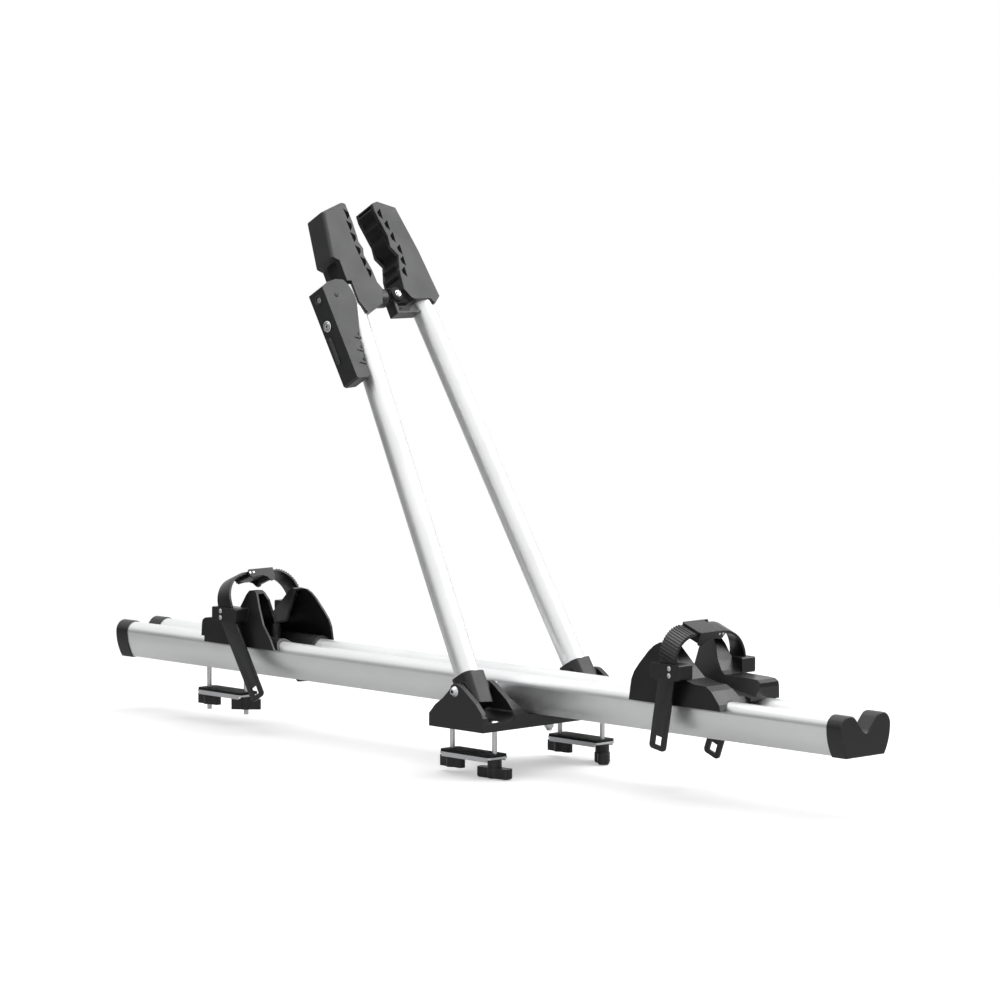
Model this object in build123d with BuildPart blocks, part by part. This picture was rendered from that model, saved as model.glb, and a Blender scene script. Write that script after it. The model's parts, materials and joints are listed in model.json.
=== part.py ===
from build123d import *
import math
import os

# A bicycle carrier for the roof of a car: a long aluminium rail that takes both wheels,
# a bracket that sits on the front roof bar, two leaning tubes with a jaw for the bicycle's
# down tube, two wheel trays with straps, and three clamps for the roof bars.
# Lengths are in millimetres. The origin is the centre of the bracket's underside.
# The rail runs along X, +Z is up, and -Y is the side that the cam lever is on.

os.makedirs("parts", exist_ok=True)

# General clearances
overrun = 1.0
slide_gap = 0.3
fit_gap = 0.15
turn_gap = 0.05

# Rail section
rail_front = 542.4
rail_rear = 735.4
rail_bottom = 15.0
hump_height = 32.4
hump_side = 27.1
hump_radius = 12.9
dip_height = 32.7
dip_radius = 8.0
flank_radius = 61.7
rail_wall = 2.0
slot_mouth = 3.4
slot_half = 5.8
slot_deep = 5.5
channel_wall = 2.2
top_slot_deep = 5.0
top_slot_lip = 2.5
web_half = 1.0

# End caps
cap_skirt = 22.7
cap_end = 3.5
cap_grow = 1.3
plug_width = 13.0
plug_height = 12.0
plug_low = 7.0
plug_side = 18.5
cap_edge = 1.2

# Base bracket
base_end_edge = 10.5
base_corner = 4.0
floor_thick = 8.0
ear_height = 54.0
outer_ear = 7.0
inner_ear = 8.0
channel_width = 44.0
lip_thick = 3.0
lip_height = 2.5
back_wall = 3.0
gusset_reach = 16.0
gusset_gap = 4.0
gusset_rise = 20.0
pocket_length = 26.0
pocket_width = 40.0
pocket_deep = 11.0
pocket_x = 17.0
pocket_y = 32.0
spot_radius = 8.0
spot_deep = 0.5

# Frame arms: lean to the rear, and toward each other
pivot_x = -2.0
pivot_z = 45.0
lean = 29.2
tube_radius = 15.0
tube_wall = 1.6
tube_low = 19.0
tube_high = 560.0
tube_top_y = 54.1
foot_side_gap = 5.0
foot_body = 33.0
foot_corner = 9.0
foot_low = 23.0
foot_high = 18.0
foot_boss = 11.0
plug_top = 12.0
bolt_radius = 4.0
far_bore = 4.3
bush_radius = 9.0
bush_gap = 0.25
dome_radius = 6.5
dome_height = 4.0
crown_share = 0.55
pivot_nut = 13.0
pivot_nut_high = 6.0

# Jaws
jaw_reach = 77.0
jaw_low = 493.0
jaw_height = 152.0
jaw_half = 17.5
jaw_edge = 4.0
near_round = 4.0
near_round_above = 592.0
far_round = 2.5
far_round_above = 520.0
round_outside = 30.0
pad_half = 13.0
window_long = 6.0
window_wide = 2.8
window_deep = 4.5
socket_gap = 0.1
rod_s = 519.0
rod_radius = 4.0
rod_bore = 4.4
knuckle_radius = 12.0
near_knuckle = -3.0
far_knuckle = 7.0
knuckle_end = 30.0
barrel_radius = 6.0
barrel_half = 9.0
barrel_y = 19.0
nut_bore = 4.05
barrel_play = 1.0
web_low = 494.5
web_high = 497.5
web_inner = 6.0
web_outer = 44.0
web_post = 4.0
web_depth_half = 8.0
saddle_face = -80.0
saddle_half = 7.6
saddle_rise = 9.0
tube_hole = 5.5

# Cam lever
pin_y = -92.0
pin_radius = 2.5
eye_radius = 5.0
eye_half = 4.6
cam_radius = 9.3
cam_offset = 3.26
cam_turn = 40.0
lever_back = -11.0
lever_front = 17.0
cheek_back = 2.5
cheek_front = 2.8
lever_width = 47.2
lever_height = 134.0
lever_low = 406.0
lever_left = -110.0
lever_skin = 4.0
lever_end = 3.0
lever_round = 1.5
lever_reach = 28.0
back_reach = 17.5
notch_radius = 2.6
notch_heights = [464.0, 447.0, 430.0]
notch_y = [-78.6, -82.0, -85.4]
lock_s = 484.0
lock_out = 1.0
lock_radius = 5.0
lock_length = 17.0
lock_proud = 1.0
recess_low = 433.0
recess_high = 472.0
recess_width = 7.0
recess_out = -3.0
recess_deep = 2.0
recess_round = 3.0
window_s = 519.0
window_out = 2.0
window_radius = 5.0

# Wheel trays
tray_length = 148.0
tray_height = 107.0
tray_skirt = 35.5
tray_foot_half = 50.0
tray_top_half = 37.5
tray_wall = 3.0
tray_gap = 0.5
front_tray_x = 219.5
rear_tray_x = -405.5
groove_floor_half = 8.0
groove_top_half = 30.0
groove_start_x = 54.0
groove_start_z = 66.0
groove_end_z = 46.5
tail_open = 46.0
hollow_end = 6.0
bench_top = 52.0
screw_x = 60.0
screw_radius = 3.0
screw_head = 5.5
screw_head_high = 3.5
screw_drive = 2.5
slot_nut_long = 14.0
slot_nut_high = 3.6

# Straps
strap_half = 12.5
strap_thick = 3.0
strap_out = 60.0
strap_z = 80.0
tail_fold_below = 6.0
strap_radius = 35.0
strap_below = 4.0
toothed_end = 8.0
plain_end = 18.6
ridge_count = 13
ridge_turn = 6.4
ridge_deep = 0.8
ridge_half = 0.9
tail_window = 11.0
tail_window_up = 11.0
tail_corner = 5.0
front_strap_x = 71.0
front_strap_straight = 6.5
front_strap_lean = 0.0
front_strap_tilt = 20.5
front_toothed_lean = 10.2
front_toothed_long = 91.5
front_plain_lean = 20.7
front_plain_long = 119.0
rear_strap_x = 84.0
rear_strap_straight = 10.0
rear_strap_lean = 19.0
rear_strap_tilt = 22.0
rear_toothed_lean = 8.0
rear_toothed_long = 94.0
rear_plain_lean = 31.5
rear_plain_long = 117.0
lug_low = 67.0
lug_high = 85.0
lug_out = 63.6
lug_in = 41.5
lug_half = 23.0
lug_slot_half = 20.2
lug_slot_gap = 0.4
lug_edge = 2.0
lug_pin_radius = 2.2
lug_pin_x = 6.7
lug_pin_step = 4.1
lug_pin_proud = 0.8
lug_pin_depth = 2.6

# Buckles, in the strap's leaning plane
buckle_half = 20.0
buckle_width = 15.3
buckle_cheek = 1.9
buckle_belt_top = 44.0
buckle_top = 46.5
buckle_low = 29.0
buckle_floor = 39.4
buckle_plate = 2.4
buckle_lid = 2.2
buckle_hook_low = -17.0
buckle_hook_high = -11.0
hinge_u = 13.0
hinge_v = 42.4
hinge_radius = 1.5
knuckle_wall = 1.1
anchor_u = 18.6
anchor_boss = 3.4
strap_eye = 2.5

# Roof bar clamps
stud_radius = 3.0
stud_step = 36.5
stud_hole = 3.35
rear_clamp_x = -557.5
plate_side = 7.5
plate_width = 32.0
plate_thick = 2.5
plate_corner = 5.0
flange_high = 5.5
flange_thick = 2.2
pad_thick = 3.0
groove_step = 5.0
groove_count = 11
front_pad_top = -28.5
rear_pad_top = -16.5
head_radius = 7.0
head_height = 3.0
neck_half = 3.0
neck_height = 4.0
hub_radius = 8.5
hub_height = 10.0
knob_bar_length = 48.0
knob_bar_width = 14.0
knob_bar_height = 12.5
knob_collar = 9.5
knob_edge = 1.5
near_knob_turn = 6
far_knob_turn = -40
knob_bore_deep = 21.0
knob_stud_depth = 8.0
wing_hub_radius = 7.5
wing_length = 38.0
wing_width = 9.0
wing_height = 13.0
wing_drop = 0.6
wing_corner = 3.0
front_wing_turn = 0
rear_front_wing_turn = 42
rear_back_wing_turn = 2
front_stud_end = -50.5
rear_stud_end = -45.5
spacer_radius = 6.0
spacer_height = 3.5
dome_nut_width = 10.0
dome_nut_high = 5.0
dome_cap_radius = 4.6
dome_cap_high = 4.0

# Outlines, as shares of the sizes that they follow
ear_shares = [
    (-0.495, 0), (-0.495, 0.285), (-0.376, 0.5), (-0.234, 0.667), (-0.103, 0.876), (-0.085,
    0.954), (-0.043, 1), (0.021, 1), (0.069, 0.974), (0.143, 0.894), (0.353, 0.63), (0.468,
    0.426), (0.5, 0.315), (0.5, 0),
]
near_jaw_shares = [
    (-0.844, 0.921), (-0.61, 0.961), (-0.377, 1), (-0.312, 0.98), (-0.299, 0.816), (-0.312,
    0.684), (-0.325, 0.638), (-0.279, 0.572), (-0.318, 0.513), (-0.26, 0.375), (-0.247, 0.266),
    (-0.182, 0.204), (-0.299, 0.072), (-0.675, 0), (-0.779, 0.105), (-0.779, 0.289), (-0.87,
    0.289), (-0.87, 0.474), (-1, 0.513),
]
far_jaw_shares = [
    (0.273, 0.98), (0.416, 1), (0.753, 0.941), (0.903, 0.546), (0.994, 0.125), (0.825, 0.053),
    (0.766, 0.099), (0.422, 0.103), (0.364, 0.118), (0.273, 0.197), (0.325, 0.368), (0.425,
    0.5), (0.317, 0.579), (0.345, 0.678), (0.26, 0.908),
]
near_pad_shares = [
    (-0.331, 0.954), (-0.279, 0.928), (-0.292, 0.895), (-0.322, 0.868), (-0.312, 0.829),
    (-0.283, 0.796), (-0.294, 0.77), (-0.327, 0.743), (-0.33, 0.704), (-0.305, 0.678), (-0.338,
    0.645), (-0.325, 0.612), (-0.279, 0.572), (-0.312, 0.533), (-0.299, 0.493), (-0.273, 0.467),
    (-0.291, 0.441), (-0.291, 0.408), (-0.253, 0.382), (-0.266, 0.349), (-0.286, 0.322),
    (-0.442, 0.322), (-0.442, 0.954),
]
far_pad_shares = [
    (0.279, 0.954), (0.234, 0.928), (0.253, 0.895), (0.292, 0.868), (0.294, 0.829), (0.266,
    0.796), (0.281, 0.763), (0.325, 0.737), (0.335, 0.704), (0.309, 0.671), (0.304, 0.612),
    (0.331, 0.579), (0.403, 0.546), (0.421, 0.5), (0.383, 0.454), (0.322, 0.428), (0.345,
    0.395), (0.33, 0.362), (0.288, 0.336), (0.294, 0.309), (0.468, 0.309), (0.532, 0.5), (0.429,
    0.954),
]
near_cut_shares = [
    (-0.447, 0.967), (-0.447, 0.319), (0, 0.319), (0, 0.967),
]
far_cut_shares = [
    (0.434, 0.967), (0.538, 0.5), (0.473, 0.306), (0, 0.306), (0, 0.967),
]
near_window_shares = [
    (-0.351, 0.888), (-0.383, 0.783), (-0.39, 0.678), (-0.39, 0.559), (-0.364, 0.454), (-0.331,
    0.355),
]
far_window_shares = [
    (0.351, 0.882), (0.416, 0.776), (0.442, 0.664), (0.494, 0.553), (0.474, 0.447), (0.416,
    0.349),
]
lever_shares = [
    (0, 0.933), (0.254, 0.978), (0.551, 1), (0.826, 0.989), (0.975, 0.948), (1, 0.896), (0.975,
    0.739), (0.678, 0.433), (0.53, 0.194), (0.53, 0.03), (0.466, 0.007), (0.127, 0), (0.064,
    0.015),
]
tray_near_shares = [
    (0, 0.336), (0, 0.561), (0.02, 0.645), (0.061, 0.729), (0.149, 0.879), (0.203, 0.944),
    (0.257, 0.981), (0.351, 0.991), (0.385, 0.963), (0.486, 0.766), (0.574, 0.617), (0.676,
    0.584), (0.804, 0.579), (0.865, 0.533), (0.966, 0.402), (0.986, 0.336),
]
tray_far_shares = [
    (0.02, 0.336), (0.095, 0.467), (0.203, 0.617), (0.277, 0.794), (0.338, 0.972), (0.365, 1),
    (0.432, 0.995), (0.466, 0.944), (0.527, 0.785), (0.595, 0.673), (0.635, 0.636), (0.892,
    0.626), (0.966, 0.617), (0.997, 0.589), (1, 0.542), (0.986, 0.402), (0.946, 0.402), (0.939,
    0.336),
]
cheek_shares = [
    (-0.5, 1), (0.5, 1), (0.5, 0.571), (0.425, 0.371), (0.2, 0.457), (0, 0.486), (-0.175,
    0.343), (-0.275, 0.086), (-0.35, 0), (-0.45, 0.057), (-0.5, 0.286),
]


def spots(shares, wide, tall, left=0, low=0):
    return [(left + a * wide, low + b * tall) for a, b in shares]


def save(piece, label):
    piece.part.label = label
    export_step(piece.part, "parts/" + label + ".step")


# The rail's outline. Its walls slope from one hump down to the valley as a straight line
# that touches both arcs.
flank_side = hump_side + hump_radius - flank_radius
dip_drop = dip_height - hump_height
wall_run = math.hypot(hump_side, dip_drop)
wall_turn = math.degrees(math.asin((hump_radius + dip_radius) / wall_run))
wall_turn = wall_turn - math.degrees(math.atan2(dip_drop, hump_side))


def rail_half_outline(grow, bottom):
    flank = flank_radius + grow
    drop = hump_height - bottom
    foot = flank_side + math.sqrt(flank**2 - drop**2)
    start = math.degrees(math.asin(drop / flank))
    Line((0, bottom), (foot, bottom))
    CenterArc((flank_side, hump_height), flank, -start, start)
    hump = CenterArc((hump_side, hump_height), hump_radius + grow, 0, 90 + wall_turn)
    dip = CenterArc((0, dip_height), dip_radius - grow, -90, wall_turn)
    Line(hump @ 1, dip @ 1)
    mirror(about=Plane.YZ)


def rail_plane(x):
    return Plane(origin=(x, 0, rail_bottom), x_dir=(0, 1, 0), z_dir=(1, 0, 0))


rail_cap_step = cap_end + slide_gap
dip_low = dip_height - dip_radius
channel_top = rail_wall + slot_deep
top_channel = dip_low - rail_wall - top_slot_deep / 2
top_channel_low = dip_low - rail_wall - top_slot_deep

with BuildPart() as rail:
    with BuildSketch(rail_plane(rail_cap_step - rail_rear)):
        with BuildLine():
            rail_half_outline(0, 0)
        make_face()
        with BuildLine(mode=Mode.PRIVATE) as inner:
            rail_half_outline(-rail_wall, rail_wall)
        make_face(inner.line, mode=Mode.SUBTRACT)
        with Locations((0, channel_top / 2 + channel_wall / 2)):
            Rectangle(2 * (slot_half + channel_wall), channel_top + channel_wall)
        with Locations((0, (channel_top + dip_low) / 2)):
            Rectangle(2 * web_half, dip_low - channel_top - rail_wall / 2)
        with Locations((0, dip_low - (rail_wall + top_slot_deep + channel_wall) / 2)):
            Rectangle(
                2 * (slot_half + channel_wall), rail_wall + top_slot_deep + channel_wall
            )
        with Locations((0, rail_wall + slot_deep / 2)):
            Rectangle(2 * slot_half, slot_deep, mode=Mode.SUBTRACT)
        with Locations((0, rail_wall / 2)):
            Rectangle(2 * slot_mouth, 2 * rail_wall, mode=Mode.SUBTRACT)
        with Locations((0, top_channel)):
            Rectangle(2 * slot_half, top_slot_deep, mode=Mode.SUBTRACT)
        with Locations((0, dip_low)):
            Rectangle(2 * slot_mouth, 2 * top_slot_lip, mode=Mode.SUBTRACT)
    extrude(amount=rail_front + rail_rear - 2 * rail_cap_step)
save(rail, "rail")


# End caps: a skirt over the rail, a flat end and two tongues inside the rail
def end_cap(end, way):
    turn = Plane(origin=(end, 0, rail_bottom), x_dir=(0, -way, 0), z_dir=(-way, 0, 0))
    with BuildPart() as cap:
        with BuildSketch(turn):
            with BuildLine():
                rail_half_outline(cap_grow, -cap_grow)
            make_face()
        extrude(amount=cap_skirt)
        rim = cap.edges().filter_by(lambda e: abs(e.center().X - end) < fit_gap)
        chamfer(rim, cap_edge)
        with BuildSketch(turn.offset(cap_end)):
            with BuildLine():
                rail_half_outline(fit_gap, -fit_gap)
            make_face()
        extrude(amount=cap_skirt, mode=Mode.SUBTRACT)
        with BuildSketch(turn.offset(cap_end)):
            with Locations((plug_side, plug_low + plug_height / 2)):
                RectangleRounded(plug_width, plug_height, 2 * cap_edge)
            with Locations((-plug_side, plug_low + plug_height / 2)):
                RectangleRounded(plug_width, plug_height, 2 * cap_edge)
        extrude(amount=cap_skirt)
    return cap


save(end_cap(rail_front, 1), "front_end_cap")
save(end_cap(-rail_rear, -1), "rear_end_cap")

# Base bracket: slab under the rail, and at each side a floor between two ears
base_length = 2 * (stud_step + base_end_edge)
ear_root_y = hump_side + hump_radius + gusset_gap + gusset_reach
ear_inner_y = ear_root_y + inner_ear
ear_face_y = ear_inner_y + channel_width
ear_outer_y = ear_face_y + outer_ear
base_width = 2 * ear_outer_y
slab_width = 2 * ear_inner_y
pivot_y = ear_face_y - channel_width / 2
bar_side = pivot_y
foot_width = channel_width - 2 * foot_side_gap
taper_share = (pivot_y - tube_top_y) / tube_high
half_base = base_length / 2
ear_points = spots(ear_shares, base_length, ear_height)


def ear_block(y, thick):
    with BuildSketch(Plane(origin=(0, y, 0), x_dir=(1, 0, 0), z_dir=(0, -1, 0))) as ear:
        Polygon(*ear_points, align=None)
    extrude(ear.sketch, amount=thick)


gussets = []
for way in (1, -1):
    with BuildPart() as gusset:
        high = ear_root_y if way > 0 else -ear_root_y + gusset_reach
        ear_block(high, gusset_reach)
        across_base = Plane(origin=(-way * half_base, 0, 0), x_dir=(0, way, 0), z_dir=(way, 0, 0))
        with BuildSketch(across_base):
            Polygon(
                (ear_root_y, rail_bottom),
                (ear_root_y, rail_bottom + gusset_rise),
                (ear_root_y - gusset_reach, rail_bottom),
                align=None,
            )
        extrude(amount=base_length, mode=Mode.INTERSECT)
    gussets.append(gusset.part)

with BuildPart() as base:
    with BuildSketch():
        RectangleRounded(base_length, base_width, base_corner)
    extrude(amount=floor_thick)
    with BuildSketch(Plane.XY.offset(floor_thick)):
        Rectangle(base_length, slab_width)
    extrude(amount=rail_bottom - floor_thick)
    for high_y, thick in (
        (ear_outer_y, outer_ear),
        (ear_root_y + inner_ear, inner_ear),
        (-ear_face_y, outer_ear),
        (-ear_root_y, inner_ear),
    ):
        ear_block(high_y, thick)
    for gusset in gussets:
        add(gusset)
    with BuildSketch(Plane.XY.offset(floor_thick)):
        with Locations((half_base - lip_thick / 2, pivot_y), (half_base - lip_thick / 2, -pivot_y)):
            Rectangle(lip_thick, channel_width)
    extrude(amount=lip_height)
    with BuildSketch(Plane.XY.offset(floor_thick)):
        with Locations((back_wall / 2 - half_base, pivot_y), (back_wall / 2 - half_base, -pivot_y)):
            Rectangle(back_wall, channel_width)
    extrude(amount=rail_bottom - floor_thick)
    with BuildSketch():
        with GridLocations(2 * pocket_x, 2 * pocket_y, 2, 2):
            Rectangle(pocket_length, pocket_width)
    extrude(amount=pocket_deep, mode=Mode.SUBTRACT)
    with BuildSketch():
        with GridLocations(2 * stud_step, 0, 2, 1):
            Circle(spot_radius)
    extrude(amount=spot_deep, mode=Mode.SUBTRACT)
    with BuildSketch():
        with GridLocations(2 * stud_step, 2 * bar_side, 2, 2):
            Rectangle(2 * (neck_half + fit_gap), 2 * (neck_half + fit_gap))
        with GridLocations(2 * stud_step, 0, 2, 1):
            Circle(stud_radius + fit_gap)
    extrude(amount=rail_bottom + overrun, mode=Mode.SUBTRACT)
    with BuildSketch(Plane(origin=(pivot_x, 0, pivot_z), x_dir=(1, 0, 0), z_dir=(0, -1, 0))):
        Circle(bolt_radius + turn_gap)
    extrude(amount=base_width, both=True, mode=Mode.SUBTRACT)
save(base, "base_bracket")


# Pivot bolts with dome heads, their nuts, and bushes at both sides of each foot
def disc(plane, radius, length):
    with BuildSketch(plane) as round_face:
        Circle(radius)
    extrude(round_face.sketch, amount=length)


def across(y, way):
    return Plane(origin=(pivot_x, y, pivot_z), x_dir=(1, 0, 0), z_dir=(0, way, 0))


def crown(plane, radius, height):
    """A low crowned head: a short cone with a flat top."""
    with BuildSketch(Plane(plane.origin, x_dir=plane.x_dir, z_dir=-plane.y_dir)) as half:
        Polygon((0, 0), (radius, 0), (radius * crown_share, height), (0, height), align=None)
    revolve(half.sketch, axis=Axis(plane.origin, plane.z_dir))


with BuildPart() as pivot_bolts:
    for way in (1, -1):
        disc(across(way * (ear_root_y - pivot_nut_high - overrun), way), bolt_radius,
             ear_outer_y - ear_root_y + pivot_nut_high + overrun)
        crown(across(way * ear_outer_y, way), dome_radius, dome_height)
save(pivot_bolts, "pivot_bolts")

with BuildPart() as pivot_nuts:
    for way in (1, -1):
        with BuildSketch(across(way * ear_root_y, -way)):
            RegularPolygon(pivot_nut / 2, 6, major_radius=False)
            Circle(bolt_radius + turn_gap, mode=Mode.SUBTRACT)
        extrude(amount=pivot_nut_high)
save(pivot_nuts, "pivot_nuts")

bush_inner = foot_width / 2 + bush_gap
bush_outer = channel_width / 2
with BuildPart() as bushes:
    for y in (-pivot_y - bush_outer, -pivot_y + bush_inner, pivot_y - bush_outer, pivot_y + bush_inner):
        with BuildSketch(across(y, 1)):
            Circle(bush_radius)
            Circle(bolt_radius + turn_gap, mode=Mode.SUBTRACT)
        extrude(amount=bush_outer - bush_inner)
save(bushes, "pivot_bushes")

# Frame arms, in planes that lean with them: x across the car, y up along the arms
lean_sin = math.sin(math.radians(lean))
lean_cos = math.cos(math.radians(lean))
pivot = Vector(pivot_x, 0, pivot_z)
facing = Vector(lean_cos, 0, lean_sin)
upward = Vector(-lean_sin, 0, lean_cos)
arm_face = Plane(pivot, x_dir=(0, 1, 0), z_dir=facing)


def arm_side(y, way):
    return Plane(pivot + Vector(0, y, 0), x_dir=facing * -way, z_dir=(0, way, 0))


def arm_point(facing_by, y, up):
    return pivot + facing * facing_by + Vector(0, y, 0) + upward * up


def tube_plane(way, up):
    along = upward - Vector(0, way * taper_share, 0)
    return Plane(arm_point(0, way * (pivot_y - taper_share * up), up), x_dir=facing, z_dir=along)


near, far = -1, 1


def tube(way, cross_hole):
    with BuildPart() as piece:
        with BuildSketch(tube_plane(way, -tube_low)):
            Circle(tube_radius)
            Circle(tube_radius - tube_wall, mode=Mode.SUBTRACT)
        extrude(amount=tube_low + tube_high)
        with BuildSketch(across(way * pivot_y, 1)):
            Circle(bolt_radius + overrun)
        extrude(amount=2 * tube_radius, both=True, mode=Mode.SUBTRACT)
        if cross_hole:
            with BuildSketch(Plane(arm_point(0, 0, rod_s), x_dir=facing, z_dir=(0, 1, 0))):
                Circle(tube_hole)
            extrude(amount=-pivot_y - tube_radius, mode=Mode.SUBTRACT)
    return piece


save(tube(near, True), "near_tube")
save(tube(far, False), "far_tube")


def foot(way, bore):
    with BuildPart() as piece:
        with BuildSketch(tube_plane(way, -foot_low)):
            RectangleRounded(foot_body, foot_body, foot_corner)
        extrude(amount=foot_low + foot_high)
        disc(across(way * pivot_y - foot_width / 2, 1), foot_boss, foot_width)
        with BuildSketch(tube_plane(way, -tube_low - slide_gap)):
            Circle(tube_radius + fit_gap)
            Circle(tube_radius - tube_wall - fit_gap, mode=Mode.SUBTRACT)
        extrude(amount=tube_low + foot_high + foot_width, mode=Mode.SUBTRACT)
        with BuildSketch(tube_plane(way, plug_top)):
            Circle(tube_radius)
        extrude(amount=foot_width, mode=Mode.SUBTRACT)
        with BuildSketch(across(way * pivot_y, 1)):
            Circle(bore)
        extrude(amount=foot_width, both=True, mode=Mode.SUBTRACT)
    return piece


save(foot(near, bolt_radius + turn_gap), "near_foot")
save(foot(far, far_bore), "far_foot")


def jaw_spots(shares):
    return spots(shares, jaw_reach, jaw_height, 0, jaw_low)


def flat(plane, points):
    with BuildSketch(plane) as face:
        Polygon(*points, align=None)
    return face.sketch


def round_flat(plane, radius, x=0, y=0):
    with BuildSketch(plane) as face:
        with Locations((x, y)):
            Circle(radius)
    return face.sketch


def tube_socket(way):
    socket = round_flat(tube_plane(way, jaw_low - jaw_height), tube_radius + socket_gap)
    extrude(socket, amount=tube_high + jaw_height - jaw_low + slide_gap, mode=Mode.SUBTRACT)


def jaw_body(piece, way, outline, cut, windows, above, radius):
    """The jaw's housing: rounded body, socket for the tube, recess for the pad, windows."""
    body = flat(arm_face.offset(-jaw_half), jaw_spots(outline))
    extrude(body, amount=2 * jaw_half)

    def outside(edge):
        spot = arm_face.to_local_coords(edge.center())
        on_face = abs(abs(spot.Z) - jaw_half) < fit_gap
        return on_face and way * spot.X > round_outside and spot.Y > above

    fillet(piece.edges().filter_by(outside), radius)
    recess = flat(arm_face.offset(-pad_half), jaw_spots(cut))
    extrude(recess, amount=2 * pad_half, mode=Mode.SUBTRACT)
    for y, up in jaw_spots(windows):
        corners = [
            (y + way * window_wide, up + window_long),
            (y - way * window_wide, up + window_long / 4),
            (y + way * window_wide / 2, up - window_long),
        ]
        for side in (-1, 1):
            window = flat(arm_face.offset(side * (jaw_half + overrun)), corners)
            extrude(window, amount=-side * (window_deep + overrun), mode=Mode.SUBTRACT)


with BuildPart() as near_jaw:
    jaw_body(near_jaw, near, near_jaw_shares, near_cut_shares, near_window_shares,
             near_round_above, near_round)
    disc(Plane(arm_point(0, near_knuckle, rod_s), x_dir=facing, z_dir=(0, -1, 0)),
         knuckle_radius, knuckle_end)
    tube_socket(near)
    with BuildSketch(Plane(arm_point(0, 0, rod_s), x_dir=facing, z_dir=(0, 1, 0))):
        Circle(rod_bore)
    extrude(amount=-pivot_y, mode=Mode.SUBTRACT)
save(near_jaw, "near_jaw")

with BuildPart() as far_jaw:
    jaw_body(far_jaw, far, far_jaw_shares, far_cut_shares, far_window_shares,
             far_round_above, far_round)
    disc(Plane(arm_point(0, far_knuckle, rod_s), x_dir=facing, z_dir=(0, 1, 0)),
         knuckle_radius, knuckle_end - far_knuckle)
    with BuildSketch(arm_face.offset(-web_depth_half)):
        Polygon(
            (web_inner, rod_s - knuckle_radius / 2),
            (web_inner, web_low),
            (web_outer, web_low),
            (web_outer, web_high),
            (web_inner + web_post, web_high),
            (web_inner + web_post, rod_s - knuckle_radius / 2),
            align=None,
        )
    extrude(amount=2 * web_depth_half)
    tube_socket(far)
    with BuildSketch(Plane(arm_point(0, 0, rod_s), x_dir=facing, z_dir=(0, 1, 0))):
        Circle(rod_bore + overrun / 2)
    extrude(amount=knuckle_end + jaw_edge, mode=Mode.SUBTRACT)
    with BuildSketch(arm_face.offset(barrel_half + fit_gap)):
        with Locations((barrel_y, rod_s - barrel_play / 2)):
            SlotCenterToCenter(barrel_play, 2 * (barrel_radius + fit_gap), rotation=90)
    extrude(amount=-2 * jaw_half, mode=Mode.SUBTRACT)
save(far_jaw, "far_jaw")


def jaw_pad(outline):
    with BuildPart() as piece:
        with BuildSketch(arm_face.offset(fit_gap - pad_half)):
            Polygon(*jaw_spots(outline), align=None)
        extrude(amount=2 * (pad_half - fit_gap))
    return piece


save(jaw_pad(near_pad_shares), "near_pad")
save(jaw_pad(far_pad_shares), "far_pad")

with BuildPart() as barrel_nut:
    with BuildSketch(arm_face.offset(-barrel_half)):
        with Locations((barrel_y, rod_s)):
            Circle(barrel_radius)
    extrude(amount=2 * barrel_half)
    with BuildSketch(Plane(arm_point(0, 0, rod_s), x_dir=facing, z_dir=(0, 1, 0))):
        Circle(nut_bore)
    extrude(amount=2 * knuckle_end, mode=Mode.SUBTRACT)
save(barrel_nut, "barrel_nut")

with BuildPart() as saddle:
    with BuildSketch(Plane(arm_point(0, saddle_face, rod_s), x_dir=facing, z_dir=(0, -1, 0))):
        RectangleRounded(2 * saddle_half, 2 * saddle_rise, lever_round)
    extrude(amount=saddle_face + pivot_y - tube_radius - tube_radius / 2)
    with BuildSketch(tube_plane(near, jaw_low)):
        Circle(tube_radius + socket_gap)
    extrude(amount=tube_high - jaw_low, mode=Mode.SUBTRACT)
    with BuildSketch(Plane(arm_point(0, 0, rod_s), x_dir=facing, z_dir=(0, 1, 0))):
        Circle(rod_bore)
    extrude(amount=-pivot_y, mode=Mode.SUBTRACT)
save(saddle, "cam_saddle")

# Clamp rod with an eye for the lever pin
with BuildPart() as rod:
    disc(Plane(arm_point(0, pin_y, rod_s), x_dir=facing, z_dir=(0, 1, 0)), rod_radius,
         knuckle_end - pin_y)
    with BuildSketch(arm_face.offset(-eye_half)):
        with Locations((pin_y, rod_s)):
            Circle(eye_radius)
    extrude(amount=2 * eye_half)
    with BuildSketch(arm_face.offset(-jaw_half)):
        with Locations((pin_y, rod_s)):
            Circle(pin_radius + turn_gap)
    extrude(amount=2 * jaw_half, mode=Mode.SUBTRACT)
save(rod, "clamp_rod")

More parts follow.
